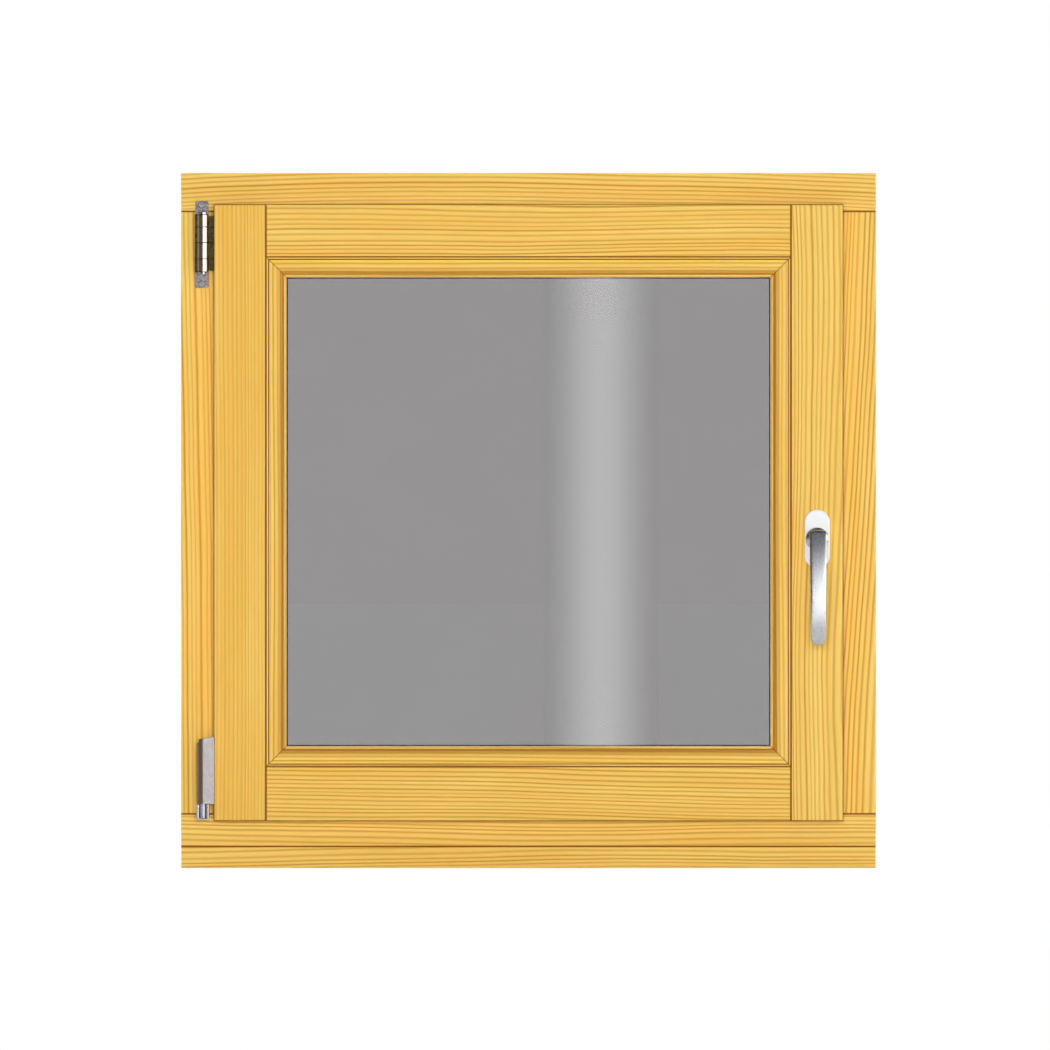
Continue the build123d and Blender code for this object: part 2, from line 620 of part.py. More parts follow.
with BuildPart() as bracket_screws:
    for height in SCREW_HEIGHTS:
        with BuildSketch(Plane((SCREW_X, PLATE_FRONT, height), z_dir=(0, 1, 0))):
            Circle(SCREW_RADIUS)
        extrude(amount=PLATE + SCREW_LENGTH)
        head = Plane((SCREW_X, PLATE_FRONT, height), x_dir=(1, 0, 0), z_dir=(0, 1, 0))
        with BuildSketch(head):
            Circle(SCREW_HEAD_RADIUS)
        extrude(amount=SCREW_HEAD_RADIUS - SCREW_RADIUS, taper=45)
        with BuildSketch(head):
            Rectangle(SCREW_RECESS_LENGTH, SCREW_RECESS_WIDTH)
            Rectangle(SCREW_RECESS_WIDTH, SCREW_RECESS_LENGTH)
        extrude(amount=SCREW_RECESS, mode=Mode.SUBTRACT)
save(bracket_screws.part, "bracket_screws")

# Lower hinge: a band on the sash turns on a pin that stands in a bearing on the frame
BAND_BOTTOM = SASH_BOTTOM + BAND_RISE
BAND_TOP = BAND_BOTTOM + BAND_HEIGHT
BEARING_BOTTOM = BAND_BOTTOM - BEARING_HEIGHT
BEARING_LEFT = HINGE_X - BAND_RADIUS
BEARING_RIGHT = HINGE_X + BAND_RADIUS
BEARING_PIN_TOP = BEARING_BOTTOM + BEARING_PLATE_HEIGHT
BAND_FRONT = HINGE_Y - BAND_RADIUS
with BuildPart() as corner_band:
    barrel(BAND_BOTTOM, BAND_TOP, BAND_RADIUS)
    block((HINGE_X, BAND_FRONT, BAND_BOTTOM), (-HALF_SASH, BAND_FRONT + BAND_PLATE, BAND_TOP))
    with BuildSketch(Plane((0, BAND_FRONT, 0), x_dir=(1, 0, 0), z_dir=(0, -1, 0))):
        with BuildLine():
            Polyline(
                (BEARING_LEFT, BAND_TOP - BAND_NOTCH),
                (BEARING_LEFT + BAND_NOTCH_WIDTH, BAND_TOP - BAND_NOTCH + BAND_SLANT),
                (BEARING_LEFT + BAND_NOTCH_WIDTH, BAND_TOP - BAND_SLANT),
                (-HALF_SASH, BAND_TOP),
                (BEARING_LEFT, BAND_TOP),
                close=True,
            )
        make_face()
    extrude(amount=-2 * BAND_RADIUS, mode=Mode.SUBTRACT)
    barrel(BAND_BOTTOM, BEARING_PIN_TOP + KNUCKLE_GAP, BEARING_PIN_RADIUS + PIN_CLEARANCE, Mode.SUBTRACT)
save(corner_band.part, "corner_band")

with BuildPart() as corner_bearing:
    block(
        (BEARING_LEFT, PLATE_FRONT, BEARING_BOTTOM),
        (BEARING_RIGHT, FRAME_IN, BEARING_BOTTOM + BEARING_PLATE_HEIGHT),
    )
    for low_x, high_x in (
        (BEARING_LEFT, BEARING_LEFT + BEARING_CHEEK),
        (BEARING_RIGHT - BEARING_CHEEK, BEARING_RIGHT),
    ):
        block(
            (low_x, HINGE_Y - BEARING_PIN_RADIUS, BEARING_BOTTOM),
            (high_x, FRAME_IN, BAND_BOTTOM - KNUCKLE_GAP),
        )
    block(
        (BEARING_LEFT, HINGE_Y - BEARING_PIN_RADIUS, BEARING_BOTTOM),
        (BEARING_RIGHT, FRAME_IN, BEARING_BOTTOM + PLATE),
    )
    fillet(corner_bearing.faces().sort_by(Axis.Y)[0].edges(), SHARP_ARRIS)
save(corner_bearing.part, "corner_bearing")

with BuildPart() as bearing_pin:
    barrel(BEARING_BOTTOM + PLATE, BEARING_PIN_TOP, BEARING_PIN_RADIUS)
save(bearing_pin.part, "bearing_pin")

# Handle: rosette on the stile, lever in the rosette and the square spindle behind it
HANDLE_CENTRE = (HANDLE_X, SASH_IN, HANDLE_HEIGHT)
handle_plane = Plane(HANDLE_CENTRE, x_dir=(1, 0, 0), z_dir=(0, -1, 0))
with BuildPart() as handle_rosette:
    with BuildSketch(handle_plane):
        SlotOverall(ROSETTE_HEIGHT, ROSETTE_WIDTH, rotation=90)
    extrude(amount=ROSETTE_DEPTH)
    fillet(handle_rosette.faces().sort_by(Axis.Y)[0].edges(), ARRIS)
    with BuildSketch(handle_plane):
        Circle(JOURNAL_RADIUS + JOURNAL_CLEARANCE)
    extrude(amount=ROSETTE_DEPTH, mode=Mode.SUBTRACT)
save(handle_rosette.part, "handle_rosette")

# The grip is a tapered bar with a round end, cut to a rounded elbow at the top
GRIP_BACK = HANDLE_STANDOFF - GRIP_THICKNESS
GRIP_END = GRIP_END_HALF - GRIP_LENGTH
ELBOW_DEPTH = HANDLE_STANDOFF - ELBOW_RADIUS
ELBOW_HEIGHT = GRIP_TOP_HALF - ELBOW_RADIUS
with BuildPart() as grip:
    with BuildSketch(handle_plane.offset(GRIP_BACK)):
        with BuildLine():
            ThreePointArc((-GRIP_TOP_HALF, 0), (0, GRIP_TOP_HALF), (GRIP_TOP_HALF, 0))
            Line((GRIP_TOP_HALF, 0), (GRIP_END_HALF, GRIP_END))
            ThreePointArc((GRIP_END_HALF, GRIP_END), (0, -GRIP_LENGTH), (-GRIP_END_HALF, GRIP_END))
            Line((-GRIP_END_HALF, GRIP_END), (-GRIP_TOP_HALF, 0))
        make_face()
    extrude(amount=GRIP_THICKNESS)
    with BuildSketch(Plane(HANDLE_CENTRE, x_dir=(0, -1, 0), z_dir=(-1, 0, 0))):
        with BuildLine():
            Polyline((ELBOW_DEPTH, -GRIP_LENGTH), (HANDLE_STANDOFF, -GRIP_LENGTH))
            Line((HANDLE_STANDOFF, -GRIP_LENGTH), (HANDLE_STANDOFF, ELBOW_HEIGHT))
            RadiusArc((HANDLE_STANDOFF, ELBOW_HEIGHT), (ELBOW_DEPTH, GRIP_TOP_HALF), -ELBOW_RADIUS)
            Line((ELBOW_DEPTH, GRIP_TOP_HALF), (ELBOW_DEPTH, -GRIP_LENGTH))
        make_face()
    extrude(amount=GRIP_LENGTH, both=True, mode=Mode.INTERSECT)
    back_edges = grip.faces().sort_by(Axis.Y)[-1].edges()
    fillet(grip.edges() - back_edges - grip.edges().filter_by(Axis.Y), GRIP_FRONT_ROUND)
    fillet(grip.faces().sort_by(Axis.Y)[-1].edges(), GRIP_BACK_ROUND)

COLLAR_BACK = ROSETTE_DEPTH + JOURNAL_CLEARANCE
with BuildPart() as handle_lever:
    with BuildSketch(handle_plane.offset(JOURNAL_CLEARANCE)):
        Circle(JOURNAL_RADIUS)
    extrude(amount=COLLAR_BACK)
    with BuildSketch(handle_plane.offset(COLLAR_BACK)):
        Circle(COLLAR_RADIUS)
    extrude(amount=COLLAR_DEPTH)
    fillet(handle_lever.faces().sort_by(Axis.Y)[0].edges(), COLLAR_DEPTH / 2)
    with BuildSketch(handle_plane.offset(COLLAR_BACK)):
        Circle(NECK_RADIUS)
    extrude(amount=GRIP_BACK + GRIP_BACK_ROUND - COLLAR_BACK)
    add(grip.part)
save(handle_lever.part, "handle_lever")

with BuildPart() as handle_spindle:
    with BuildSketch(handle_plane.offset(JOURNAL_CLEARANCE)):
        Rectangle(SPINDLE, SPINDLE)
    extrude(amount=-SPINDLE_LENGTH)
save(handle_spindle.part, "handle_spindle")
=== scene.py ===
"""Looks of a single-sash pine window: varnished timber, tinted double glazing, nickel-plated hinges,
an anodised lever on a white rosette and an anodised rain rail outside, in a pale studio."""

import logging
import math
from collections.abc import Callable, Sequence
from dataclasses import dataclass
from enum import Enum
from functools import partial
from typing import Union

import bmesh
import bpy
from mathutils import Matrix, Vector


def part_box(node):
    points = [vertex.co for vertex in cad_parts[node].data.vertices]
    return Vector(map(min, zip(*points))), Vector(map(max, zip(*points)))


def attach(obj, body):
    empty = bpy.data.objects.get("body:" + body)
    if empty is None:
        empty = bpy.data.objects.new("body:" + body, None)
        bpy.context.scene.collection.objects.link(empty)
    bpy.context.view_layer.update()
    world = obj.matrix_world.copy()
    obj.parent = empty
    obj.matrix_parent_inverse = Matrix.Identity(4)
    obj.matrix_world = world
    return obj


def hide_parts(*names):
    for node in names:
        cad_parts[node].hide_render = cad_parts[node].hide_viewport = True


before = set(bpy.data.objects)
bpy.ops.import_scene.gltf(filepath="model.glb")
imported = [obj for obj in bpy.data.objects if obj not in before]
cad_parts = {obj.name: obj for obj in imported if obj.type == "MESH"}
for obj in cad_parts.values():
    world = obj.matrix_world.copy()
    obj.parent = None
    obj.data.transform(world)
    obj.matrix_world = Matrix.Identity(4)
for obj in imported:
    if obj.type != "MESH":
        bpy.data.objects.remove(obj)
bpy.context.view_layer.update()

LOG = logging.getLogger("window")
MM = 0.001
PHOTO_WIDTH = 1050

Material = bpy.types.Material
Piece = bpy.types.Object
Socket = bpy.types.NodeSocket
Axes = tuple[Socket, Socket, Socket]
Adder = Callable[..., Socket]
# A cross-section: place out and up, turn from outwards to down in radians, half width, half
# thickness and squareness
Section = tuple[float, ...]
Value = Union[float, str, tuple, Socket]
IN_COLOUR = {"output": 2, "data_type": "RGBA"}
STAINING = {**IN_COLOUR, "blend_type": "MULTIPLY"}
# Corners of a CAD mesh that lie closer than this are one, in millimetres
SAME_CORNER = 0.002
# Turns in radians: below the first two faces are one flat, above the second their edge is eased
FLAT_TURN = math.radians(1.0)
SHARP_TURN = math.radians(30)
# Edges sharper than this many degrees keep a hard shading on machined parts
HARD_SHADING = 50.0
WHITE = (1.0, 1.0, 1.0, 1.0)


def linear(code: str) -> tuple[float, float, float, float]:
    """Turns an sRGB hex colour into the linear colour that a shader takes.

    Args:
        code: Six hex digits.

    Returns:
        Linear red, green, blue and a full alpha.
    """
    shares = (int(code[i:i + 2], 16) / 255 for i in (0, 2, 4))
    red, green, blue = (s / 12.92 if s <= 0.04045 else ((s + 0.055) / 1.055) ** 2.4 for s in shares)
    return red, green, blue, 1.0


def wire(tree: bpy.types.NodeTree, kind: str, inputs: dict[int | str, Value] | None = None,
         output: int | str = 0, **settings: object) -> Socket:
    """Adds a node, sets it and links it.

    Args:
        tree: The node tree that gets the node.
        kind: The node's type without its ShaderNode prefix.
        inputs: Input name or number to a constant, a hex colour or another node's socket.
        output: Which output to return.
        **settings: The node's own properties.

    Returns:
        The chosen output socket. The node itself is its .node.
    """
    made = tree.nodes.new("ShaderNode" + kind)
    for name, value in settings.items():
        setattr(made, name, value)
    for key, value in (inputs or {}).items():
        if isinstance(value, Socket):
            tree.links.new(value, made.inputs[key])
        else:
            made.inputs[key].default_value = linear(value) if isinstance(value, str) else value
    return made.outputs[output] if made.outputs else None


def ramp(socket: Socket, stops: Sequence[tuple[float, float]]) -> Socket:
    """Gives a colour ramp its grey stops.

    Args:
        socket: The ramp's colour output.
        stops: Position and grey value of each stop, in order.

    Returns:
        The same socket, for chaining.
    """
    elements = socket.node.color_ramp.elements
    while len(elements) < len(stops):
        elements.new(1.0)
    for element, (position, grey) in zip(elements, stops):
        element.position = position
        element.color = (grey, grey, grey, 1.0)
    return socket


def place_in_mm(add: Adder) -> Socket:
    """Gives the place in the window's own frame, in millimetres."""
    place = add("TexCoord", output="Object")
    return add("VectorMath", {0: place, "Scale": 1 / MM}, operation="SCALE")


def nearness(add: Adder, value: Socket, middle: Value, inner: float, outer: float,
             peak: float = 1.0, **settings: object) -> Socket:
    """Marks where a value lies near a middle.

    Args:
        add: Adds a node to the material's tree.
        value: The value.
        middle: What it is compared with.
        inner: Distance up to which the mark is full.
        outer: Distance from which it is 0.
        peak: The full mark.
        **settings: Further settings of the falloff between them.

    Returns:
        The mark.
    """
    away = add("Math", {0: value, 1: middle}, operation="SUBTRACT")
    away = add("Math", {0: away}, operation="ABSOLUTE")
    return add("MapRange", {
        "Value": away, "From Min": inner, "From Max": outer, "To Min": peak, "To Max": 0.0}, **settings)


def seen_directly(add: Adder) -> Socket:
    """Marks rays from the camera, straight or through the glass."""
    ray = add("LightPath").node.outputs
    return add("Math", {0: ray["Is Camera Ray"], 1: ray["Is Transmission Ray"]}, operation="MAXIMUM")


def hide(piece: Piece, *rays: str) -> None:
    """Hides a piece from some kinds of rays, such as camera or glossy."""
    for ray in rays:
        setattr(piece, f"visible_{ray}", False)


def new_material(name: str) -> Material:
    """Makes an empty node material.

    Args:
        name: The material's name.

    Returns:
        The material, with no nodes in it.
    """
    material = bpy.data.materials.new(name)
    material.use_nodes = True
    material.node_tree.nodes.clear()
    return material


def blend(first: float, second: float, share: float) -> float:
    """Gives the value a share of the way from the first to the second."""
    return first + (second - first) * share


def dress(piece: Piece, material: Material) -> None:
    """Gives a piece one material.

    Args:
        piece: A CAD node's object or a new piece.
        material: What it gets.
    """
    piece.data.materials.clear()
    piece.data.materials.append(material)


@dataclass(frozen=True)
class Finish:
    """What a surface is made of. Each kind wires its own shader.

    Attributes:
        name: The material's name: what it is and how it was made.
    """

    name: str

    PREFIX = ""

    def material(self) -> Material:
        """Builds the material.

        Returns:
            The finished material.
        """
        made = new_material(self.PREFIX + self.name)
        add = partial(wire, made.node_tree)
        add("OutputMaterial", {"Surface": self.surface(add)})
        return made

    def surface(self, add: Adder) -> Socket:
        """Wires the finish and gives its shader."""
        raise NotImplementedError


class Grain(Enum):
    """Which way a member's grain runs."""

    ALONG_X = "x"
    ALONG_Z = "z"


@dataclass(frozen=True)
class JointAndShadeLine:
    """A dark line on the wood. Where two members meet, varnish and dust gather in its groove; along
    the sash lip's edges it is painted shade of the lip's step.

    Attributes:
        axis: "X" or "Z", the coordinate that is constant along the line.
        at: That coordinate, in millimetres.
        half_width: Half the darkened width, in millimetres.
        depth: How dark it gets, from 0 to 1.
        run: Half its length about the window's middle, in millimetres.
        room_side: True for a line that shows only on faces towards the room.
    """

    axis: str
    at: float
    half_width: float = 1.35
    depth: float = 0.85
    run: float = 500.0
    room_side: bool = False


@dataclass(frozen=True)
class VarnishedPine(Finish):
    """Knot-free Scots pine, planed and sanded, with a clear satin varnish.

    Growth rings are cylinders round a pith beside the member, so faces show long grain lines and
    ends show arcs. The eye gets warm honey earlywood with thin, sharper orange latewood lines.

    Attributes:
        name: The member, for the material's name.
        grain: Which way the grain runs.
        box: The member's lowest and highest corner, in metres.
        ring_width: Mean width of a growth ring, in millimetres.
        pith: Where the pith lies from the member's middle, across and in depth, in millimetres.
        tilt: How far the rings drift across for each millimetre along.
        bow: How far they drift for each square millimetre along, which makes flat arches.
        seed: Shifts every noise, so no two members match.
        warmth: 0 for pale wood, 1 for the most orange.
        contrast: Strength of the latewood lines.
        waviness: Scales how much the lines wander.
        lamella: Thickness of each glued layer in depth, in millimetres, or 0 for solid wood.
        joints: Dark joint lines, and painted shade lines along the sash lip's edges.
        mitre: A mitred bead's half length in millimetres, positive where its outer edge is the
            high one, or None.
        moulding: Where a bead's slope starts, ends and gives way to its pale lip from its outer edge, in
        millimetres, or None. The slope between start and end gets painted shade.
    """

    grain: Grain
    box: tuple[Vector, Vector]
    ring_width: float = 4.4
    pith: tuple[float, float] = (-95.0, 12.0)
    tilt: float = 0.0
    bow: float = 0.0
    seed: float = 0.0
    warmth: float = 0.3
    contrast: float = 1.0
    waviness: float = 1.0
    lamella: float = 0.0
    joints: tuple[JointAndShadeLine, ...] = ()
    mitre: float | None = None
    moulding: tuple[float, float, float] | None = None

    PREFIX = "varnished_pine_"
    PALE = "FFDA74"
    HONEY = "F5C155"
    OLIVE_LINE = "C79428"
    ORANGE_LINE = "DA8E26"
    # Dark joint lines, also used for painted shade along the sash lip's edges
    JOINT_AND_SHADE = "92540A"
    END_STAIN = "C98A3A"
    # Painted shade on a bead's slope, darker and warmer towards the glass
    MOULDING_SHADE = "D2B688"
    # Feature size across, in depth and along the grain, in millimetres
    FIBRES = (0.9, 0.9, 22.0)
    TONES = (24.0, 24.0, 260.0)
    LINE_STRETCHES = (6.0, 9.0, 85.0)
    # Feature sizes of each warp of the rings and how far it reaches, in millimetres
    WARPS = (((120, 120, 520), 16.0), ((45, 45, 190), 3.4), ((14, 14, 60), 0.8))
    # Each seed moves the noise by this much across, in depth and along
    SEED_SHIFT = (7.31, 3.17, 5.73)
    # How far the pith of one glued layer may lie from the next's, in millimetres
    LAYER_SHIFT = (38.0, 22.0, 0.0)
    # Slow change of the ring spacing: its length in millimetres, its size in rings and its shift
    # for each seed
    SPACING_LENGTH = 26.0
    SPACING_CHANGE = 2.6
    SPACING_SEED = 11.7
    # Tone below and above the member's warmth, how much one ring adds and where its chances start
    TONE_SPREAD = (0.4, 0.15)
    RING_TONE = 0.35
    RING_SEED = 17.3
    # Strength of the weakest latewood line beside the strongest
    WEAKEST_LINE = 0.5
    # Shade of the darkest and the palest fibre
    FIBRE_SHADE = (0.95, 1.04)
    # Roughness of the satin varnish
    SATIN = (0.40, 0.50)
    # Latewood across one ring: slow to come, sharp to end
    RING_PROFILE = ((0.0, 0.0), (0.28, 0.0), (0.44, 0.2), (0.58, 0.85), (0.68, 1.0), (0.78, 0.8),
                    (0.90, 0.12), (1.0, 0.0))
    # Height of the fibres and width of the soft edge before a bead's lip, in millimetres
    FIBRE_RELIEF = 0.06
    LIP_EDGE = 0.5
    # Distances at which the mitre's hairline starts to fade and ends, in millimetres
    MITRE_REACH = (0.35, 0.95)
    MITRE_DEPTH = 0.8

    def surface(self, add: Adder) -> Socket:
        """Wires the finish and gives its shader."""
        axes = self._timber_axes(add)
        radius = self._ring_radius(add, axes)
        latewood, ring = self._latewood(add, radius)
        fibres = add("TexNoise", {
            "Vector": self._stretched(add, axes, self.FIBRES),
            "Scale": 1.0, "Detail": 2.0, "Roughness": 0.6})
        colour = self._colour(add, axes, latewood, ring, fibres)
        colour = self._stains(add, colour, axes)
        normal = add("Bump", {"Height": fibres, "Strength": 0.4, "Distance": self.FIBRE_RELIEF * MM})
        smooth, rough = self.SATIN
        roughness = add("MapRange", {"Value": fibres, "To Min": smooth, "To Max": rough})
        return add("BsdfPrincipled", {
            "Base Color": colour, "Roughness": roughness, "Normal": normal,
            "Specular IOR Level": 0.35, "Coat Weight": 0.12, "Coat Roughness": 0.25})

    def _timber_axes(self, add: Adder) -> Axes:
        """Gives the place in the member across, in depth and along its grain, in millimetres."""
        middle = (self.box[0] + self.box[1]) / 2
        place = add("VectorMath", {0: add("TexCoord", output="Object"), 1: middle}, operation="SUBTRACT")
        in_mm = add("VectorMath", {0: place, "Scale": 1 / MM}, operation="SCALE")
        split = add("SeparateXYZ", {0: in_mm}).node.outputs
        if self.grain is Grain.ALONG_X:
            return split["Z"], split["Y"], split["X"]
        return split["X"], split["Y"], split["Z"]

    def _stretched(self, add: Adder, axes: Axes, size: Sequence[float]) -> Socket:
        """Makes a noise vector whose features have the given size in millimetres.

        Args:
            add: Adds a node to the material's tree.
            axes: Place across the grain, in depth and along the grain.
            size: Feature size across, in depth and along, in millimetres.

        Returns:
            The scaled vector, shifted by the member's seed.
        """
        vector = add("CombineXYZ", dict(enumerate(axes)))
        scaled = add("VectorMath", {0: vector, 1: tuple(1 / s for s in size)}, operation="MULTIPLY")
        shift = tuple(self.seed * part for part in self.SEED_SHIFT)
        return add("VectorMath", {0: scaled, 1: shift}, operation="ADD")

    def _ring_radius(self, add: Adder, axes: Axes) -> Socket:
        """Works out the distance from the pith, warped so that the lines wander."""
        moved_across, depth, along = axes
        moved_depth = depth
        for size, reach in self.WARPS:
            noise = add("TexNoise", {
                "Vector": self._stretched(add, axes, size),
                "Scale": 1.0, "Detail": 0.0}, "Color")
            centred = add("VectorMath", {0: noise, 1: (0.5, 0.5, 0.5)}, operation="SUBTRACT")
            warp = add("VectorMath", {0: centred, "Scale": reach * self.waviness}, operation="SCALE")
            parts = add("SeparateXYZ", {0: warp}).node.outputs
            moved_across = add("Math", {0: moved_across, 1: parts[0]}, operation="ADD")
            moved_depth = add("Math", {0: moved_depth, 1: parts[1]}, operation="ADD")
        slope = add("Math", {0: along, 1: self.bow, 2: self.tilt}, operation="MULTIPLY_ADD")
        drift = add("Math", {0: along, 1: slope, 2: moved_across}, operation="MULTIPLY_ADD")
        place = add("CombineXYZ", {0: drift, 1: moved_depth, 2: 0.0})
        pith = add("VectorMath", {0: place, 1: (*self.pith, 0.0)}, operation="SUBTRACT")
        if self.lamella:
            front = (self.box[0].y - self.box[1].y) / 2 / MM
            layer = add("Math", {0: depth, 1: front}, operation="SUBTRACT")
            layer = add("Math", {0: layer, 1: self.lamella}, operation="DIVIDE")
            layer = add("Math", {0: layer}, operation="FLOOR")
            layer = add("Math", {0: layer, 1: self.seed}, operation="ADD")
            random = add("TexWhiteNoise", {"W": layer}, "Color", noise_dimensions="1D")
            shift = add("VectorMath", {0: random, 1: self.LAYER_SHIFT}, operation="MULTIPLY")
            pith = add("VectorMath", {0: pith, 1: shift}, operation="ADD")
        return add("VectorMath", {0: pith}, "Value", operation="LENGTH")

    def _latewood(self, add: Adder, radius: Socket) -> tuple[Socket, Socket]:
        """Turns the distance from the pith into latewood lines of uneven spacing and strength.

        Returns:
            How much latewood there is, from 0 to 1, and the ring's number.
        """
        wander = add("TexNoise", {
            "W": radius, "Scale": 1 / self.SPACING_LENGTH, "Detail": 1.0}, noise_dimensions="1D")
        uneven = add("Math", {
            0: wander, 1: self.SPACING_CHANGE, 2: self.seed * self.SPACING_SEED}, operation="MULTIPLY_ADD")
        count = add("Math", {0: radius, 1: 1 / self.ring_width, 2: uneven}, operation="MULTIPLY_ADD")
        ring = add("Math", {0: count}, operation="FLOOR")
        share = add("Math", {0: count}, operation="FRACT")
        line = ramp(add("ValToRGB", {0: share}), self.RING_PROFILE)
        chance = add("TexWhiteNoise", {"W": ring}, noise_dimensions="1D")
        weakest = self.WEAKEST_LINE * self.contrast
        strength = add("MapRange", {"Value": chance, "To Min": weakest, "To Max": self.contrast})
        return add("Math", {0: line, 1: strength}, operation="MULTIPLY"), ring

    def _colour(self, add: Adder, axes: Axes, latewood: Socket, ring: Socket, fibres: Socket) -> Socket:
        """Mixes early and late wood, with slow changes of tone and fine fibres."""
        slow = add("TexNoise", {
            "Vector": self._stretched(add, axes, self.TONES),
            "Scale": 1.0, "Detail": 2.0})
        below, above = self.TONE_SPREAD
        tone = add("MapRange", {
            "Value": slow, "From Min": 0.3, "From Max": 0.7,
            "To Min": max(0.0, self.warmth - below), "To Max": self.warmth + above})
        chance = add("TexWhiteNoise", {
            "W": add("Math", {0: ring, 1: self.RING_SEED}, operation="ADD")}, noise_dimensions="1D")
        tone = add("Math", {0: chance, 1: self.RING_TONE, 2: tone}, operation="MULTIPLY_ADD")
        early = add("Mix", {"Factor": tone, 6: self.PALE, 7: self.HONEY}, **IN_COLOUR)
        stretches = add("TexNoise", {
            "Vector": self._stretched(add, axes, self.LINE_STRETCHES),
            "Scale": 1.0, "Detail": 1.0})
        orange = add("MapRange", {"Value": stretches, "From Min": 0.5, "From Max": 0.62})
        late = add("Mix", {"Factor": orange, 6: self.OLIVE_LINE, 7: self.ORANGE_LINE}, **IN_COLOUR)
        wood = add("Mix", {"Factor": latewood, 6: early, 7: late}, **IN_COLOUR)
        darkest, palest = self.FIBRE_SHADE
        shade = add("MapRange", {
            "Value": fibres, "From Min": 0.25, "From Max": 0.75, "To Min": darkest, "To Max": palest})
        return add("VectorMath", {0: wood, "Scale": shade}, operation="SCALE")

    def _stains(self, add: Adder, colour: Socket, axes: Axes) -> Socket:
        """Darkens end grain, joint lines and mitres, and paints shade on a bead's slope and by the sash
        lip.
        """
        normal = add("TexCoord", output="Normal")
        facing = add("SeparateXYZ", {0: normal}).node.outputs
        to_room = add("Math", {0: facing["Y"], 1: -0.5}, operation="LESS_THAN")
        end = add("Math", {0: facing["X" if self.grain is Grain.ALONG_X else "Z"]}, operation="ABSOLUTE")
        end = add("MapRange", {"Value": end, "From Min": 0.75, "From Max": 0.95, "To Max": 0.8})
        colour = add("Mix", {"Factor": end, 6: colour, 7: self.END_STAIN}, **STAINING)
        place = add("TexCoord", output="Object")
        split = add("SeparateXYZ", {0: place}).node.outputs
        # Painted shade on the bead's slope, growing towards the glass and stopping at the pale lip
        if self.moulding is not None:
            start, end, lip = self.moulding
            from_edge = self._from_outer_edge(add, axes[0])
            slope = add("MapRange", {"Value": from_edge, "From Min": start, "From Max": end})
            before_lip = add("MapRange", {
                "Value": from_edge, "From Min": lip, "From Max": lip + self.LIP_EDGE, "To Min": 1.0,
                "To Max": 0.0})
            slope = add("Math", {0: slope, 1: before_lip}, operation="MULTIPLY")
            colour = add("Mix", {"Factor": slope, 6: colour, 7: self.MOULDING_SHADE}, **STAINING)
        # Joint lines; those along the sash lip's edges are painted shade
        for joint in self.joints:
            mask = nearness(add, split[joint.axis], joint.at * MM, joint.half_width * 0.5 * MM,
                            joint.half_width * MM, joint.depth)
            if joint.axis == "Z":
                reach = add("Math", {0: split["X"]}, operation="ABSOLUTE")
                within = add("Math", {0: reach, 1: joint.run * MM}, operation="LESS_THAN")
                mask = add("Math", {0: mask, 1: within}, operation="MULTIPLY")
            if joint.room_side:
                mask = add("Math", {0: mask, 1: to_room}, operation="MULTIPLY")
            colour = add("Mix", {"Factor": mask, 6: colour, 7: self.JOINT_AND_SHADE}, **IN_COLOUR)
        if self.mitre is not None:
            colour = self._mitre_line(add, colour, axes)
        return colour

    def _from_outer_edge(self, add: Adder, across: Socket) -> Socket:
        """Gives the distance from a bead's outer edge, in millimetres."""
        size = self.box[1] - self.box[0]
        half_width = (size.z if self.grain is Grain.ALONG_X else size.x) / 2 / MM
        away = add("Math", {0: across, 1: math.copysign(half_width, self.mitre)}, operation="SUBTRACT")
        return add("Math", {0: away}, operation="ABSOLUTE")

    def _mitre_line(self, add: Adder, colour: Socket, axes: Axes) -> Socket:
        """Draws the hairline where two beads meet, a line at 45 degrees from each outer corner."""
        across, _, along = axes
        from_edge = self._from_outer_edge(add, across)
        reach = add("Math", {0: along}, operation="ABSOLUTE")
        from_end = add("Math", {0: abs(self.mitre), 1: reach}, operation="SUBTRACT")
        mask = nearness(add, from_edge, from_end, *self.MITRE_REACH, self.MITRE_DEPTH)
        return add("Mix", {"Factor": mask, 6: colour, 7: self.JOINT_AND_SHADE}, **IN_COLOUR)


